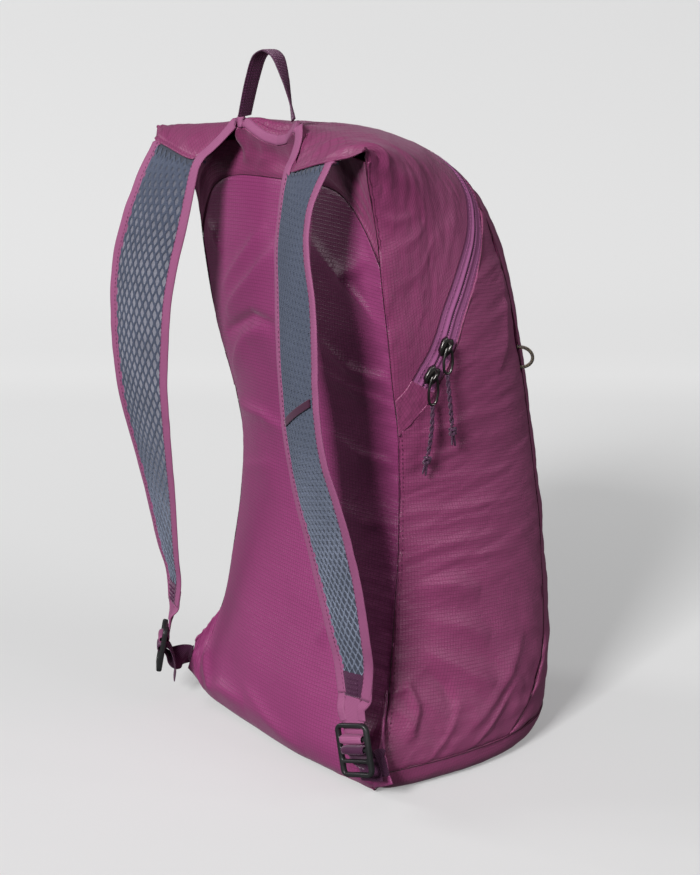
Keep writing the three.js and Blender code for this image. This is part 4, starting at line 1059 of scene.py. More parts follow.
# A rounded flat section, drawn from its width's one end round to the other and back.
def flatSection(width, thick, crown=0.0, n=9):
    k = np.linspace(-1, 1, n)
    x = k * (width / 2 - thick * 0.15)
    half = thick / 2 * (1 - 0.55 * np.abs(k) ** 6)
    upper = np.stack([x, half + crown * (1 - k * k)], -1)
    lower = np.stack([x, -half], -1)[::-1]
    return np.concatenate([[[-width / 2, 0]], upper, [[width / 2, 0]], lower])


# The faces round a band or tube, and one at each end.
def tubeFaces(rows, cols):
    faces = quads(rows, cols, 0, True).tolist()
    return faces + [list(range(cols))[::-1], [(rows - 1) * cols + j for j in range(cols)]]


# A band swept along centres. across is the direction of its width in each row, outside its crown's side.
def bandMesh(name, centres, across, width, thick, look, crown=0.0, wave=0.0, seed=0, outside=None):
    centres = np.asarray(centres, float)
    along = unit(np.gradient(centres, axis=0))
    w = unit(across - along * (across * along).sum(-1, keepdims=True))
    n = unit(np.cross(along, w))
    if outside is not None and (n * outside).sum(-1).mean() < 0:
        n, w = -n, -w
    section = flatSection(width, thick, crown)
    run, around = runOf(centres), runOf(section)
    points, uvs = [], []
    for i in range(len(centres)):
        lift = wave * drift(np.full(len(section), run[i] / 9.0), section[:, 0] / width + 5, seed)
        points.append(centres[i] + w[i] * section[:, :1] + n[i] * (section[:, 1:] + lift[:, None]))
        uvs.append(np.stack([around, np.full(len(section), run[i])], -1))
    faces = tubeFaces(len(points), len(section))
    return outwards(buildMesh(name, np.concatenate(points), faces, np.concatenate(uvs), look))


# The points, faces and lengths of a tube along a path.
def tubeData(path, radius, sides=10, closed=False, squash=1.0, up=(0, 0, 1)):
    path = np.asarray(path, float)
    along = unit(np.gradient(path, axis=0))
    normal = unit(np.cross(along[0], np.array(up) + (0.01, 0.02, 0.03)))
    turn = np.linspace(0, 2 * np.pi, sides, endpoint=False)
    rings = []
    for i, r in enumerate(np.broadcast_to(radius, len(path))):
        normal = unit(normal - along[i] * (normal @ along[i]))
        other = np.cross(along[i], normal)
        rings.append(path[i] + r * (np.cos(turn)[:, None] * normal + squash * np.sin(turn)[:, None] * other))
    rows = len(rings)
    if closed:
        after = (np.arange(sides) + 1) % sides
        last = (rows - 1) * sides
        closing = np.stack([last + np.arange(sides), last + after, after, np.arange(sides)], -1)
        faces = quads(rows, sides, 0, True).tolist() + closing.tolist()
    else:
        faces = tubeFaces(rows, sides)
    turn = np.linspace(0, 2 * np.pi * float(np.max(radius)), sides, endpoint=False)
    uvs = np.stack(np.broadcast_arrays(turn[None], runOf(path)[:, None]), -1).reshape(-1, 2)
    return np.concatenate(rings), faces, uvs


# One piece of several tubes.
def tubePiece(name, look, *tubes):
    points, faces, uvs, start = [], [], [], 0
    for p, f, uv in tubes:
        points.append(p)
        uvs.append(uv)
        faces += [[a + start for a in face] for face in f]
        start += len(p)
    return outwards(buildMesh(name, np.concatenate(points), faces, np.concatenate(uvs), look))


# A row of stitches: small rounded bodies set along curves, a little uneven in size.
def makeStitchTree():
    inputs = {"Pitch": "Float", "Length": "Float", "Thick": "Float", "Finish": "Material"}
    tree, given, made = newGroup(
        "GeometryNodeTree", "stitch_row", {"Geometry": "Geometry", **inputs}, {"Geometry": "Geometry"}
    )

    def step(kind, feeds=None, **settings):
        return node(tree, kind, feeds, **settings).outputs[0]

    def aligned(axis, vector, **feeds):
        feeds["Vector"] = step("GeometryNodeInput" + vector)
        return step("FunctionNodeAlignRotationToVector", feeds, axis=axis)

    line = {"Curve": given["Geometry"], "Length": given["Pitch"]}
    line = step("GeometryNodeResampleCurve", line, mode="LENGTH")
    size = step("ShaderNodeCombineXYZ", {0: given["Length"], 1: given["Thick"], 2: given["Thick"]})
    bead = step("GeometryNodeMeshUVSphere", {"Segments": 6, "Rings": 4, "Radius": 0.5})
    bead = step("GeometryNodeTransform", {"Geometry": bead, "Scale": size})
    turn = aligned("Z", "Normal", Rotation=aligned("X", "Tangent"))
    uneven = node(tree, "FunctionNodeRandomValue", {2: 0.88, 3: 1.1, "Seed": 3}, data_type="FLOAT")
    feeds = {"Points": line, "Instance": bead, "Rotation": turn, "Scale": uneven.outputs[1]}
    beads = step("GeometryNodeInstanceOnPoints", feeds)
    beads = step("GeometryNodeRealizeInstances", {"Geometry": beads})
    beads = step("GeometryNodeSetMaterial", {"Geometry": beads, "Material": given["Finish"]})
    feed(tree, made, {"Geometry": beads})
    return tree


stitchTree = makeStitchTree()


# Stitches, or teeth, along lines given in millimetres; the tree's result becomes a plain mesh.
def stitchRows(name, lines, pitch, length, thick, look="thread", slot="binding", *nodes):
    curve = bpy.data.curves.new(name + "_guide", "CURVE")
    curve.dimensions = "3D"
    for line in lines:
        spline = curve.splines.new("POLY")
        spline.points.add(len(line) - 1)
        spline.points.foreach_set("co", np.column_stack([place(line), np.ones(len(line))]).ravel())
    guide = addObject(name + "_guide", curve)
    modifier = guide.modifiers.new("stitches", "NODES")
    modifier.node_group = stitchTree
    values = {"Pitch": pitch / 1000, "Length": length / 1000, "Thick": thick / 1000, "Finish": looks[look]}
    for item in stitchTree.interface.items_tree:
        if item.in_out == "INPUT" and item.name in values:
            modifier[item.identifier] = values[item.name]
    graph = bpy.context.evaluated_depsgraph_get()
    graph.update()
    mesh = bpy.data.meshes.new_from_object(guide.evaluated_get(graph), depsgraph=graph)
    mesh.name = name
    bpy.data.objects.remove(guide)
    return rideAs(addObject(name, mesh), slot, *nodes)


bothSides = {"right": 1, "left": -1}


# A line beside the zip, from one end strip to the other.
def zipLine(n, offset):
    line = evenly(n, zipShape["stripEnd"], 1 - zipShape["stripEnd"])
    t, level = besideZip(line, offset + 0 * line)
    return frontSkin(np.clip(t, 0, 1), level)


# One tape of the zip, between two offsets from its middle line.
def zipBand(side, low, high):
    def at(u, v):
        t = mix(zipShape["stripEnd"], 1 - zipShape["stripEnd"], u)
        t, level = besideZip(t, mix(low, high, v))
        return frontSkin(np.clip(t, 0, 1), level)

    # the tape swells beside the chain, which it wraps
    def lift(u, v, s, t):
        beside = np.abs(mix(low, high, v))
        return -zipShape["sunk"] + zipShape["bulge"] * np.exp(-(((beside - 1.7) / 1.3) ** 4))

    name = "zip_tape_cloth_" + side
    clothPiece(name, "zip_tape_" + side, "tape", "tape", at, evenly(260), evenly(14), lift, 1.0)


def makeZip():
    edge = zipShape["half"] + zipShape["seam"]
    zipBand("upper", zipShape["split"], edge)
    zipBand("lower", -edge, -zipShape["split"])
    stitchRows("zip_teeth", [zipLine(400, 0)], 1.5, 0.9, 1.1, "teeth", "chain", "zip_chain")
    stitches = [zipLine(400, offset) for offset in (-6.6, 6.6)]
    stitchRows("zip_tape_stitches", stitches, 2.6, 1.8, 0.4, "tape", "tape")
    for name, sign in bothSides.items():

        def at(u, v, sign=sign):
            k = u if sign > 0 else 1 - u
            offset = mix(-zipShape["half"] - 1, zipShape["half"] + 1, v)
            starts = np.array([zipStart(o) for o in offset[:, 0]])[:, None]
            t, level = besideZip(mix(starts + 0 * k, zipShape["stripEnd"] + 0.004, k), offset)
            return frontSkin(np.maximum(t, 0), level) * (sign, 1, 1)

        def folds(u, v, s, t):
            return 0.5 + 0.4 * foldNoise(s / 6, t / 8, 71)

        names = "zip_end_cloth_" + name, "zip_end_strip_" + name
        clothPiece(*names, "body", "side", at, evenly(30), evenly(30), folds)


makeZip()
print("zip made")

strap = Table(
    ["down", "outX", "outY", "outZ", "inX", "inY", "inZ"],
    [
        [0.0, 0.873, -0.15, 0.98, 0.408, -0.138, 0.95],
        [0.06, 0.879, -0.227, 0.918, 0.415, -0.149, 0.926],
        [0.14, 0.928, -0.266, 0.859, 0.438, -0.182, 0.854],
        [0.23, 1.014, -0.281, 0.787, 0.486, -0.204, 0.793],
        [0.31, 1.043, -0.286, 0.724, 0.531, -0.221, 0.72],
        [0.37, 1.046, -0.286, 0.678, 0.55, -0.225, 0.671],
        [0.45, 1.049, -0.278, 0.617, 0.578, -0.225, 0.604],
        [0.53, 1.059, -0.26, 0.563, 0.6, -0.214, 0.541],
        [0.61, 1.081, -0.223, 0.505, 0.631, -0.195, 0.473],
        [0.69, 1.091, -0.185, 0.448, 0.669, -0.174, 0.417],
        [0.77, 1.095, -0.143, 0.376, 0.704, -0.155, 0.36],
        [0.87, 1.083, -0.101, 0.284, 0.762, -0.128, 0.273],
        [0.96, 1.05, -0.072, 0.218, 0.797, -0.109, 0.214],
        [1.0, 1.032, -0.074, 0.18, 0.83, -0.112, 0.176],
    ],
)
strapSizes = {
    "binding": 8.8,
    "thick": 2.0,
    "cells": {"right": (5.2, 9.0), "left": (6.2, 12.0)},
    "foot": 0.958,
    "above": 300,
    "lift": 60,
}


# The strap's outer and inner edge; above its top it runs on under the hood's lobe.
def strapEdges(down):
    under = np.minimum(down, 0.0)
    down = np.maximum(down, 0.0)
    back = vec(0 * under, -strapSizes["above"] * under, strapSizes["lift"] * under)
    out = sized(strap.outX(down), strap.outY(down), strap.outZ(down))
    return out + back, sized(strap.inX(down), strap.inY(down), strap.inZ(down)) + back


def strapWidth(down):
    return np.linalg.norm(np.subtract(*strapEdges(down)), axis=-1)


# The strap's face, a little hollowed between its edges: k is 0 at the outer edge and 1 at the inner one.
def strapSkin(down, k):
    out, inn = strapEdges(down)
    p = mix(out, inn, np.asarray(k)[..., None])
    p[..., 1] -= 0.05 * strapWidth(down) * np.sin(np.pi * np.clip(k, 0, 1))
    return p


# Normals turned to the wearer's side, -Y.
def facingBack(normal):
    return normal * np.where(normal[..., 1:2] > 0, -1, 1)


# How open the knit is, down the strap: the right one is closed at the top.
knitOpen = {
    "right": through([0, 0.3, 0.45, 0.62, 0.8, 1], [0.0, 0.0, 0.1, 0.42, 0.82, 0.82]),
    "left": through([0, 0.1, 0.25, 0.5, 0.72, 0.86, 1], [0.3, 0.6, 0.74, 0.76, 0.74, 0.8, 0.8]),
}
knitShade = {
    "right": through([0, 0.4, 0.6, 0.8, 1], [0.0, 0.02, 0.3, 0.62, 0.62]),
    "left": through([0, 0.2, 0.5, 0.7, 0.85, 1], [0.08, 0.02, 0.02, 0.3, 0.6, 0.6]),
}
groundShade = {
    "right": through([0, 0.4, 0.6, 0.8, 1], [0.25, 0.22, 0.12, 0.04, 0.04]),
    "left": through([0, 0.15, 0.3, 0.55, 0.72, 0.85, 1], [0.1, 0.8, 1.0, 0.95, 0.6, 0.25, 0.1]),
}

strapDown = evenly(300)
strapRun = runOf(strapSkin(strapDown, 0.5 + 0 * strapDown))


# The lattice: lozenges with a rounded hole each, as (x, run, depth) points, faces and shades.
def knitLattice(name):
    a, b = (size / 2 for size in strapSizes["cells"][name])
    margin = strapSizes["binding"] - 0.2
    points, faces, shades = [], [], []
    ringAt = [(1, 0), (0.5, 0.5), (0, 1), (-0.5, 0.5), (-1, 0), (-0.5, -0.5), (0, -1), (0.5, -0.5)]
    for row in range(1, int(strapRun[-1] * strapSizes["foot"] / b)):
        run = row * b
        down = float(np.interp(run, strapRun, strapDown))
        half = float(strapWidth(np.array(down))) / 2
        hole = max(float(knitOpen[name](down)), 0.04)
        first = -math.ceil(half / (2 * a)) - 1
        for col in range(first, -first + 1):
            x = 2 * a * col + (a if row % 2 else 0)
            if abs(x) > half - margin + a:
                continue
            start = len(points)
            for scale, depth in ((1.0, 0.0), (hole, 0.0), (hole, -0.6)):
                for rx, ry in ringAt:
                    if scale < 1:
                        rounded = mix(1.0, 0.78 / math.hypot(rx, ry), 0.45)
                        rx, ry = rx * rounded, ry * rounded
                    points.append((x + rx * a * scale, run + ry * b * scale, depth))
            shades += [float(knitShade[name](down))] * (len(points) - start)
            for ring in (start, start + 8):
                for j in range(8):
                    n = (j + 1) % 8
                    faces.append([ring + j, ring + n, ring + 8 + n, ring + 8 + j])
    return np.array(points), faces, shades


# The knit between the bindings: a lattice of small lozenges over a closed ground.
def makeKnitPiece(name, sign):
    flat, faces, shades = knitLattice(name)
    down = np.interp(flat[:, 1], strapRun, strapDown)
    k = 0.5 + flat[:, 0] / strapWidth(down)
    p = strapSkin(down, k)
    e = 2e-3
    normal = unit(np.cross(strapSkin(down + e, k) - p, strapSkin(down, k + e) - p))
    p = p + facingBack(normal) * (flat[:, 2:] + 0.05)
    # the ground, one closed sheet just behind the lattice
    rows, cols = 151, 17
    down = np.repeat(evenly(rows - 1, -0.03, strapSizes["foot"] + 0.01), cols)
    wide = strapWidth(down)
    inset = (strapSizes["binding"] - 3) / wide
    k = mix(inset, 1 - inset, np.tile(evenly(cols - 1), rows))
    ground = strapSkin(down, k)
    run = np.interp(down, strapDown, strapRun) + np.minimum(down, 0) * strapSizes["above"]
    normal = facingBack(gridNormals(ground.reshape(rows, cols, 3)).reshape(-1, 3))
    points = np.concatenate([p, ground - normal * 0.5, ground - normal * 2.2]) * (sign, 1, 1)
    uv = np.stack([(k - 0.5) * wide, run], -1)
    allFaces = faces + (shellFaces(rows, cols) + len(p)).tolist()
    piece = buildMesh("strap_knit_" + name, points, allFaces, np.concatenate([flat[:, :2], uv, uv]), "knit")
    piece.data.materials.append(looks["ground"])
    marks = np.zeros(len(allFaces), np.int32)
    marks[len(faces):] = 1
    piece.data.polygons.foreach_set("material_index", marks)
    shade = piece.data.attributes.new("shade", "FLOAT", "POINT")
    behind = groundShade[name](down)
    shade.data.foreach_set("value", np.concatenate([shades, behind, behind]).astype(np.float32))
    rideAs(outwards(piece), "mesh", "strap_mesh_" + name)


# A bound edge: names are those of the piece and of the CAD node that it replaces.
def edgeBand(names, centres, across, seed, width=strapSizes["binding"], outside=(0, -1.0, 0)):
    thick = strapSizes["thick"]
    piece = bandMesh(names[0], centres, across, width, thick, "binding", 0.15, 0.25, seed, outside)
    rideAs(piece, "binding", names[1])


def makeStraps():
    rows = evenly(170)
    w = strapSizes["binding"] / 2
    for name, sign in bothSides.items():
        makeKnitPiece(name, sign)
        mirror = (sign, 1, 1)
        longer = evenly(172, -0.01)
        out, inn = strapEdges(longer)
        centre = strapSkin(longer, w / strapWidth(longer)) + (0, 0.25, 0)
        names = "strap_edge_outer_" + name, "strap_binding_outer_" + name
        edgeBand(names, centre * mirror, unit(inn - out) * mirror, 81)
        # the inner binding starts on the neckline and turns down along the strap
        upper = neckPoint(evenly(40, 0.25, 0.425)) + (0, -0.9, 0.6)
        out, inn = strapEdges(rows)
        centre = strapSkin(rows, 1 - w / strapWidth(rows)) + (0, 0.25, 0)
        inward = unit(inn - out)[3:]
        turning = mix(unit(vec(-1, 0.35, 0.45)), inward[0], smooth(evenly(len(upper) - 1))[:, None])
        centre = np.concatenate([upper, centre[3:]])
        across = np.concatenate([turning, inward])
        path = smoothRows(np.column_stack([centre, across])[::3], 240)
        names = "strap_edge_inner_" + name, "strap_binding_inner_" + name
        edgeBand(names, path[:, :3] * mirror, path[:, 3:] * mirror, 82)
        inset = (strapSizes["binding"] - 1.8) / strapWidth(rows)
        stitches = [(strapSkin(rows, k) - (0, 0.78, 0)) * mirror for k in (inset, 1 - inset)]
        stitchRows("strap_stitches_" + name, stitches, 3.2, 2.0, 0.42)
    shares = evenly(120, -0.285, 0.285)
    names = "neckline_edge", "neck_binding"
    edgeBand(names, neckPoint(shares), neckAcross(shares), 83, 7, (0, -1.0, 0.3))


makeStraps()
print("straps made")

haul = Table(
    ["round", "x", "z", "turn"],
    [
        [0.0, 0.235, 1.0265, 158],
        [0.06, 0.226, 1.0355, 154],
        [0.15, 0.208, 1.0515, 145],
        [0.24, 0.183, 1.071, 134],
        [0.32, 0.157, 1.088, 124],
        [0.43, 0.085, 1.12, 105],
        [0.5, 0.01, 1.1275, 98],
        [0.57, -0.07, 1.12, 96],
        [0.7, -0.15, 1.085, 98],
        [0.88, -0.21, 1.045, 102],
        [1.0, -0.235, 1.0265, 104],
    ],
)


def makeHaulLoop():
    k = evenly(120)
    turn = np.radians(haul.turn(k))
    centre = sized(haul.x(k), -0.0225, haul.z(k))
    across = vec(np.cos(turn), np.sin(turn), 0)
    rideAs(bandMesh("haul_loop_webbing", centre, across, 13, 1.7, "haul"), "webbing", "haul_loop")


makeHaulLoop()


def makeStrapFeet():
    for name, sign in bothSides.items():
        v, u = np.meshgrid(evenly(20, strapSizes["foot"], 0.997), evenly(16), indexing="ij")
        inset = (strapSizes["binding"] - 2) / strapWidth(v)
        p = strapSkin(v, mix(inset, 1 - inset, u)) - (0, 0.25, 0)
        if sign < 0:
            p = (p * (-1, 1, 1))[:, ::-1]
        under = p - facingBack(gridNormals(p)) * 2
        points = np.concatenate([p.reshape(-1, 3), under.reshape(-1, 3)])
        uv = np.stack(lengths(p), -1).reshape(-1, 2)
        faces = shellFaces(*u.shape)
        piece = buildMesh("strap_foot_webbing_" + name, points, faces, np.concatenate([uv, uv]), "webbing")
        rideAs(outwards(piece), "webbing", "strap_patch_" + name)
        k = evenly(12, 0.36, 0.64)
        bars = [strapSkin(down + 0 * k, k) - (0, 0.6, 0) for down in (0.968, 0.976, 0.984, 0.991)]
        bars = [bar * (sign, 1, 1) for bar in bars]
        stitchRows("strap_foot_bars_" + name, bars, 0.8, 1.0, 1.6, "webbing", "webbing")


makeStrapFeet()

labelBand = {"down": 0.435, "slope": 0.075, "high": 5.2, "off": 1.35}


def makeLabel():
    def at(u, v):
        k = mix(0.84, 0.16, u)
        below = (0.5 - v) * labelBand["high"] / (0.79 * pack["height"])
        down = labelBand["down"] + labelBand["slope"] * (k - 0.5) + below
        return strapSkin(down, k) + np.array((0.12, -0.95, 0)) * labelBand["off"]

    names = "strap_band_bare", "strap_label"
    outwards(clothPiece(*names, "label", "label", at, evenly(24), evenly(8), wall=0.8))


makeLabel()
print("trim made")

wingTip = Table(["up", "x", "y", "z"], [[0.0, 1.046, 0.0025, 0.038], [1.0, 0.942, 0.0075, 0.101]])


def tipPoint(v):
    return sized(wingTip.x(v), wingTip.y(v), wingTip.z(v))


# The wings: gussets from the side seams' lower ends out to the lower webbing.
def makeWings():
    for name, sign in bothSides.items():

        def at(u, v, sign=sign):
            k = u if sign > 0 else 1 - u
            root = backSkin(0.975 + 0 * v, mix(0.022, 0.195, v)) + (0, -0.2, 0)
            p = mix(root, tipPoint(v), k[..., None])
            p[..., 1] += 0.6
            return p * (sign, 1, 1)

        def folds(u, v, s, t):
            return 0.6 * foldNoise(s / 7, t / 9, 91)

        names = "wing_cloth_" + name, "wing_" + name
        clothPiece(*names, "body", "back", at, evenly(24), evenly(30), folds)


makeWings()

# Where each ladder lock's top lies, and which way its width and its length run.
locks = {
    "right": {"top": (0.942, -0.114, 0.141), "wide": (0.88, 0.3, 0.36), "down": (0.22, 0.02, -0.97)},
    "left": {"top": (-0.965, -0.1175, 0.141), "wide": (-0.86, 0.5, 0.12), "down": (-0.1, -0.15, -0.98)},
}
lockSizes = {
    "width": 27,
    "length": 37,
    "thick": 4,
    "side": 3.3,
    "rail": 2.5,
    "edge": 0.7,
    "round": 1.1,
    "webbing": 18.4,
    "play": 0.35,
    "tab": 1.3,
    "strap": 1.2,
    "foot": 42,
}


def roundedOutline(y, w, l, r, n=5):
    points = []
    for sx, sy, start in ((1, 1, 0), (-1, 1, 90), (-1, -1, 180), (1, -1, 270)):
        for k in range(n + 1):
            turn = math.radians(start + 90 * k / n)
            across, along = sx * (w / 2 - r), y + sy * (l / 2 - r)
            points.append((across + r * math.cos(turn), along + r * math.sin(turn)))
    return points


# A moulded plate with rounded edges: flat outlines, filled and bevelled, made a mesh, then set in its place.
def mouldedPlate(name, outlines, thick, edge, origin, a, b, look):
    curve = bpy.data.curves.new(name, "CURVE")
    curve.dimensions = "2D"
    curve.fill_mode = "BOTH"
    curve.extrude = thick / 2 - edge
    curve.bevel_depth = edge
    curve.bevel_resolution = 3
    curve.offset = -edge
    for outline in outlines:
        spline = curve.splines.new("POLY")
        spline.points.add(len(outline) - 1)
        for point, (x, y) in sideBySide(spline.points, outline):
            point.co = (x, y, 0, 1)
        spline.use_cyclic_u = True
    holder = addObject(name, curve)
    graph = bpy.context.evaluated_depsgraph_get()
    mesh = bpy.data.meshes.new_from_object(holder.evaluated_get(graph), depsgraph=graph)
    bpy.data.objects.remove(holder)
    co = np.zeros(len(mesh.vertices) * 3)
    mesh.vertices.foreach_get("co", co)
    co = co.reshape(-1, 3)
    faces = [list(p.vertices) for p in mesh.polygons]
    points = origin + co[:, :1] * a + co[:, 1:2] * b + co[:, 2:] * np.cross(a, b)
    bpy.data.meshes.remove(mesh)
    return outwards(buildMesh(name, points, faces, co[:, :2], look), merge=True)


# A band through rows of a centre and a width direction each.
def bandThrough(name, rows, n, width, thick, look, *finish):
    path = smoothRows([np.concatenate(row) for row in rows], n)
    return bandMesh(name, path[:, :3], path[:, 3:], width, thick, look, *finish)


def makeLock(name, sign):
    lock, size = locks[name], lockSizes
    mirror = np.array((sign, 1, 1))
    b = unit(np.array(lock["down"], float))
    a = np.array(lock["wide"], float)
    a = unit(a - b * (a @ b))
    n = np.cross(a, b)
    if n[1] > 0:
        n = -n
    top = sized(*lock["top"])

    def at(along, lift):
        return top + b * along + n * lift

    # the four openings between the rails
    free = size["length"] - 5 * size["rail"] - 2 * size["edge"]
    windows = []
    edge = size["rail"] + size["edge"]
    for share in (0.28, 0.21, 0.23, 0.28):
        windows.append((edge, edge + share * free))
        edge += share * free + size["rail"]
    inner = size["width"] - 2 * size["side"]
    outlines = [roundedOutline(size["length"] / 2, size["width"], size["length"], 5.2)]
    outlines += [roundedOutline((p + q) / 2, inner, q - p, 1.2, 3) for p, q in windows]
    shape = outlines, size["thick"], size["round"], top, a, b
    piece = mouldedPlate("lock_moulding_" + name, *shape, "plastic")
    rideAs(piece, "plastic", "ladder_lock_" + name)

    # the rows of a webbing that goes over a rail
    def fold(rail, thick):
        middle = (windows[rail][1] + windows[rail + 1][0]) / 2
        reach = size["rail"] / 2 + size["play"] + thick / 2
        lift = size["thick"] / 2 + size["play"] + thick / 2
        steps = [(1, -0.45), (1, 0.64), (0.78, 1), (-0.78, 1), (-1, 0.64), (-1, -0.62)]
        return [(at(middle + r * reach, l * lift), a) for r, l in steps]

    behind = size["thick"] / 2 + size["play"] + size["tab"] / 2
    strapEnd = strapSkin(np.array(1.0), np.array(0.5)) * mirror + (0, 1.3, -2.6)
    outer, innerEdge = (strapSkin(np.array(1.0), np.array(k)) for k in (0.0, 1.0))
    wide = unit((outer - innerEdge) * mirror)
    bend = (windows[0][1] + windows[1][0]) / 2
    rows = [
        (strapEnd + (0, 0, 3), wide),
        (mix(strapEnd, at(-6, -behind), 0.5) + (0, 0, 1), wide * 0.5 + a * 0.5),
        (at(-4, -behind), a),
        (at(0.6 * windows[0][1], -behind), a),
        (at(bend + 0.6 * size["rail"], -behind), a),
    ]
    rows += fold(0, size["tab"])
    tab = bandThrough(
        "strap_tab_cloth_" + name, rows, 90, size["webbing"], 1.5, "binding", 0.1, 0.2, 84
    )
    rideAs(tab, "binding", "strap_tab_" + name)

    # the two edge bindings run on beside the tab and end behind the lock
    lean = a if (a @ wide) > 0 else -a
    for k, side, part in ((0.0, 1, "outer"), (1.0, -1, "inner")):
        inset = abs(k - strapSizes["binding"] / 2 / size["foot"])
        starts = [strapSkin(np.array(d), np.array(inset)) for d in (0.965, 0.985, 1.0)]
        ends = [at(-9, -behind + 0.6) + lean * side * 8.6, at(-1, -behind + 0.4) + lean * side * 7.4]
        rows = [(p * mirror + (0, 0.4, 0), wide) for p in starts] + [(p, a) for p in ends]
        tail = "strap_edge_tail_" + part + "_" + name
        rideAs(bandThrough(tail, rows, 40, 6.6, 1.8, "binding", 0.1, 0.2, 85), "binding")

    low, high = tipPoint(np.array(0.0)), tipPoint(np.array(1.0))
    wing = mix(low, high, 0.5) * mirror + (0, 0.25, 0)
    wingWide = unit((high - low) * mirror)
    into = windows[2][0]
    rows = [
        (wing, wingWide),
        (wing + (0, -3, 0), wingWide),
        (mix(wing, at(into + 8, -9), 0.4), mix(wingWide, a, 0.3)),
        (at(into + 7.5, -7.4), mix(wingWide, a, 0.75)),
        (at(into + 4.6, -4.4), a),
    ]
    rows += fold(1, size["strap"])
    rows += [(at(into + along, -lift), a) for along, lift in ((-1.6, 5.4), (5, 9.6), (15, 13), (24, 13.5))]
    webbing = bandThrough("lower_webbing_cloth_" + name, rows, 150, size["webbing"], 1.3, "webbing")
    rideAs(webbing, "webbing", "lower_webbing_" + name)


for name, sign in bothSides.items():
    makeLock(name, sign)
print("locks made")

sliders = {
    "upper": {"t": 0.0755, "ring": 19, "cord": 36, "drift": 6, "away": 2, "tail": 9},
    "lower": {"t": 0.0495, "ring": 21, "cord": 34, "drift": -1, "away": 3, "tail": 9},
}
pull = {
    "width": 9.4,
    "length": 13,
    "plate": 3.4,
    "ringWide": 8.8,
    "bar": 1.5,
    "cord": 3.2,
    "strand": 0.82,
    "twist": 0.8,
    "turns": 3.5,
    "knot": 7.4,
    "gap": 0.35,
}
# Half a slider's outline, as shares of its width and length; the other half mirrors it.
sliderHalf = [(0.28, -0.5), (0.5, -0.28), (0.5, 0.3), (0.3, 0.5), (0.1, 0.42)]


# A point on the front's skin, its normal, and the way down along the skin.
def spot(t, level):
    e = 1e-3
    p = frontSkin(t, level)
    out = unit(np.cross(frontSkin(t + e, level) - p, frontSkin(t, level + e) - p))
    down = np.array((0, 0, -1.0))
    return p, out, unit(down - out * (down @ out))


# A slider's plate, and the bridge on it that holds the ring.
def makeSlider(name, t, at, out):
    e = 1e-3
    along = unit(frontSkin(t + e, zipLevel(t + e)) - at)
    across = np.cross(out, along)
    half = [(x * pull["width"], y * pull["length"]) for x, y in sliderHalf]
    outline = half + [(-x, y) for x, y in half[::-1]]
    origin = at + out * (pull["gap"] + pull["plate"] / 2)
    outline = outline[-1:] + outline[:-1]
    shape = [outline], pull["plate"], 0.9, origin, across, along
    plate = mouldedPlate("zip_slider_body_" + name, *shape, "metal")
    eye = pull["bar"] + 0.8
    end = 1.5 * pull["bar"]
    rise = [(-end - 1.4, 0.2), (-end - 0.9, eye * 0.6), (-end + 0.4, eye + 1.1)]
    rise += [(0, eye + 1.35)] + [(-x, z) for x, z in rise[::-1]]
    foot = at + out * (pull["gap"] + pull["plate"] - 0.6)
    bridge = smoothRows([foot + along * x + out * z for x, z in rise], 26)
    arch = tubePiece("zip_slider_bridge_" + name, "metal", tubeData(bridge, 0.85, squash=1.25, up=across))
    rideAs(plate, "metal", "zip_slider_" + name)
    rideAs(arch, "metal")
    return at + out * (pull["gap"] + pull["plate"] + 0.4 + eye / 2)


# A long wire ring, a little narrower at its eye than at its foot.
def makeRing(name, long, middle, out, down):
    turn = np.linspace(0, 2 * np.pi, 72, endpoint=False)
    y = np.cos(turn) * (long - pull["bar"]) / 2
    x = np.sign(np.sin(turn)) * np.abs(np.sin(turn)) ** 0.62 * (pull["ringWide"] - pull["bar"]) / 2
    x *= 1 - 0.26 * np.clip(y / (long / 2), -0.1, 1)
    ring = middle + unit(np.cross(down, out)) * x[:, None] - down * y[:, None]
    wire = tubeData(ring, pull["bar"] / 2 + 0.2, 12, closed=True, up=out)
    rideAs(tubePiece("pull_ring_wire_" + name, "metal", wire), "metal", "pull_ring_" + name)


# The doubled cord, its two strands twisted round each other, and the knot at its end.
def makePullCord(name, s, foot, out, down):
    forward = unit(np.cross(out, (0, 0, 1.0)))

    def cordPoint(k):
        k = np.asarray(k, float)[..., None]
        p = foot + down * s["cord"] * k - forward * s["drift"] * k**1.4
        return p + out * s["away"] * np.sin(np.pi * k) * 0.5

    k = evenly(60)
    route = cordPoint(k)
    along = unit(np.gradient(route, axis=0))
    sideways = unit(np.cross(along, out))
    twist = 2 * np.pi * pull["turns"] * k[:, None]
    shift = sideways * np.cos(twist) + np.cross(along, sideways) * np.sin(twist)
    strands = [tubeData(route + shift * pull["twist"] * half, pull["strand"]) for half in (-1, 1)]
    cord = tubePiece("pull_cord_braid_" + name, "cord", *strands)
    rideAs(cord, "cord", "pull_cord_" + name)
    end = cordPoint(1.0)
    knot = makeKnot(name, end, unit(end - cordPoint(0.9)), out, s["tail"])


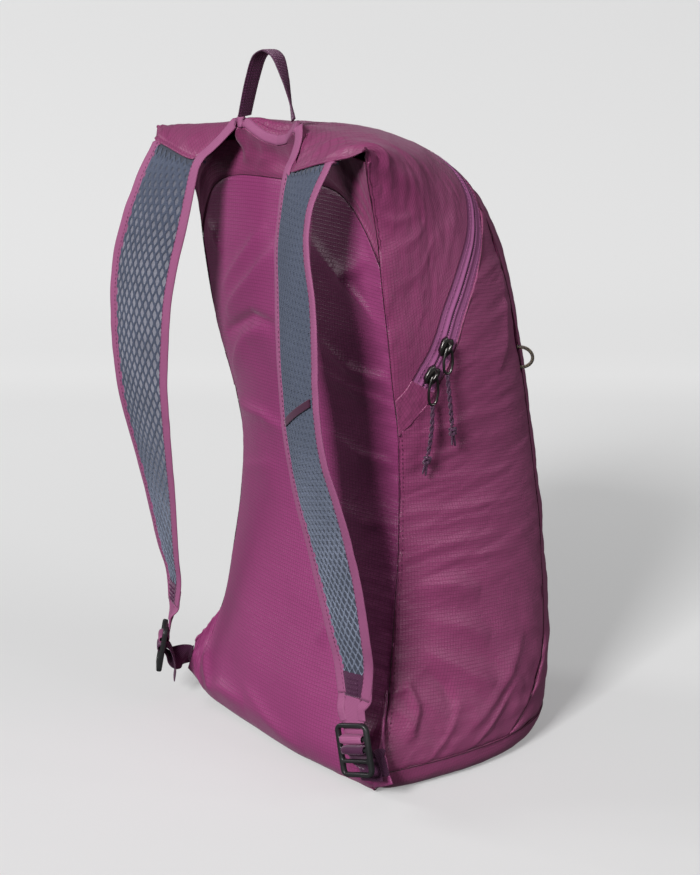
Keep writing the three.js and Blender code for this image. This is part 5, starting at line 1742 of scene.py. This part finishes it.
# An overhand knot: a wound loop of the doubled cord, and its two short tails.
def makeKnot(name, at, heading, out, tailLong):
    flat = np.cross(heading, out)
    r = pull["knot"] / 2 - 0.9
    middle = at + heading * (pull["gap"] + 0.55 * pull["knot"])
    turn = np.linspace(0, 2 * np.pi * 1.9, 90)[:, None]
    winding = (
        middle
        + heading * np.sin(turn * 1.5) * r * 0.72
        + flat * np.cos(turn) * r * (0.78 + 0.12 * np.cos(2.5 * turn))
        + out * np.sin(turn) * r * 0.55
    )
    core = middle + heading * np.linspace(-0.5 * pull["knot"], 0.5 * pull["knot"], 14)[:, None]
    thick = 1.5 * np.sin(np.linspace(0.35, np.pi - 0.35, 14))
    parts = [tubeData(winding, 0.95, 9), tubeData(core, thick, 9)]
    for side, long in ((-1, 1.0), (1, 0.8)):
        k = evenly(15)[:, None]
        tail = (
            middle
            + heading * (0.35 * pull["knot"] + tailLong * long * k)
            + flat * side * (0.5 + 1.5 * k - 0.5 * k * k)
            + out * 0.3 * side * k
        )
        parts.append(tubeData(tail, np.concatenate([np.full(14, 0.78), [0.72, 0.5]]), 8))
    return rideAs(tubePiece("pull_knot_wound_" + name, "cord", *parts), "cord", "pull_knot_" + name)


def makePulls():
    for name, s in sliders.items():
        at, out, down = spot(s["t"], zipLevel(s["t"]))
        eyeAt = makeSlider(name, s["t"], at, out)
        middle = eyeAt + down * (s["ring"] / 2 - pull["bar"] / 2)
        makeRing(name, s["ring"], middle, out, down)
        makePullCord(name, s, middle + down * (s["ring"] / 2 + pull["gap"]), out, down)


makePulls()
print("sliders and cords made")


# The attachment loop, a cord that stands out of the seam between side and front.
def makeLoop():
    upper, outA, _ = spot(corner(0.85), 0.6375)
    lower, outB, _ = spot(corner(0.8), 0.6075)
    turn = np.linspace(0, np.pi, 60)[:, None]
    sunk = 1.2 * (np.abs(np.cos(turn)) > 0.995)
    path = mix(upper, lower, (1 - np.cos(turn)) / 2)
    path = path + unit(outA + outB) * (0.5 + 9 * np.sin(turn) - sunk)
    rideAs(tubePiece("side_loop_cord", "loop", tubeData(path, 1.25)), "cord", "attachment_loop")


makeLoop()


def makeSeamStitchesAndShadows():
    v = evenly(300, 0.01, 0.99)
    row = rightPanel(0.012 + 0 * v, v) + (0.5, -0.3, 0)
    stitchRows("side_seam_stitches", [row, row * (-1, 1, 1)], 3.4, 2.3, 0.45, "thread", "body")
    # dark lines painted as the shadow in the seams where panels meet: side seams, base, arch, the zip's lower
    # edge, front corners
    up = evenly(300, 0.03, 0.99)
    lines = [backSkin(side + 0 * up, mix(0.03, 0.98, up)) + (-0.9 * side, -0.15, 0) for side in (-1, 1)]
    ts = evenly(260, 0.004, 0.996)
    lines.append(frontSkin(ts, baseLevel + 0 * ts) * (1.004, 1.0, 1))
    ss = evenly(160, -0.99, 0.99)
    lines.append(backSkin(ss, archLevel(ss)) + (0, -0.35, 0.2))
    lines.append(zipLine(300, -zipShape["half"] - 0.9))
    front = rightPanel(1 + 0 * v, v)
    lines += [front, front * (-1, 1, 1)]
    stitchRows("seam_shadow_lines", lines, 1.1, 1.5, 0.62, "seam", "body")


makeSeamStitchesAndShadows()

studio = {
    "floor": (0.6, 0.6, 0.6, 1),
    "glow": 0.21,
    "air": (0.93, 0.94, 0.96, 1),
    "world": 0.07,
    "reach": 6,
    "bend": 1.6,
    "curve": 0.35,
}
# Each light's power in watts, place, target height and size in metres.
lights = {
    "key": (560.0, (3.0, -5.6, 3.4), 0.22, (1.6, 1.8)),
    "side": (112.0, (5.6, 2.6, 2.6), 0.22, (3.2, 3.6)),
    "left": (95.0, (-4.6, -3.6, 3.0), 0.2, (2.2, 2.2)),
    "top": (4.0, (0.2, -0.2, 2.8), 0.2, (2.2, 2.2)),
}


# A floor that bends up into a backdrop behind the pack, as the camera sees it.
def makeFloor():
    reach = studio["reach"]
    far, side = np.meshgrid(np.linspace(-reach, reach, 60), np.linspace(-reach, reach, 20), indexing="ij")
    rise = np.maximum(far - studio["bend"], 0) ** 2 * studio["curve"]
    turn = math.radians(cameraSet["azimuth"])
    x = side * math.cos(turn) - far * math.sin(turn)
    y = side * math.sin(turn) + far * math.cos(turn)
    mesh = bpy.data.meshes.new("studio_floor")
    mesh.from_pydata(vec(x, y, rise).reshape(-1, 3).tolist(), [], quads(60, 20, 0).tolist())
    mesh.polygons.foreach_set("use_smooth", np.ones(len(mesh.polygons), bool))
    material, tree, shader = startMaterial("studio_floor", 0.9, 0.1)
    # a little more glow further off keeps the backdrop even
    glow = studio["glow"] + 0.15 * np.exp(-((far - 1.3) ** 2)) + 0.05 * (far > 1.3) + 0.015 * side
    lift = mesh.attributes.new("lift", "FLOAT", "POINT")
    lift.data.foreach_set("value", np.maximum(glow, 0).astype(np.float32).ravel())
    read = node(tree, "ShaderNodeAttribute", attribute_name="lift").outputs["Fac"]
    feeds = {"Base Color": studio["floor"], "Emission Color": (1, 1, 1, 1), "Emission Strength": read}
    feed(tree, shader, feeds)
    mesh.materials.append(material)
    made = addObject("studio_floor", mesh)
    made.visible_diffuse = False
    made.visible_glossy = False


def makeLights():
    world = bpy.data.worlds.new("studio")
    world.use_nodes = True
    air = world.node_tree.nodes["Background"]
    feed(world.node_tree, air, {0: studio["air"], 1: studio["world"]})
    bpy.context.scene.world = world
    for name, (power, at, high, size) in lights.items():
        data = bpy.data.lights.new(name, "AREA")
        data.shape = "RECTANGLE"
        data.size, data.size_y = size
        data.energy = power
        made = addObject(name, data)
        made.location = at
        made.rotation_euler = (Vector((0, 0, high)) - Vector(at)).to_track_quat("-Z", "Y").to_euler()
    bpy.context.scene.view_settings.view_transform = "Standard"


makeFloor()
makeLights()
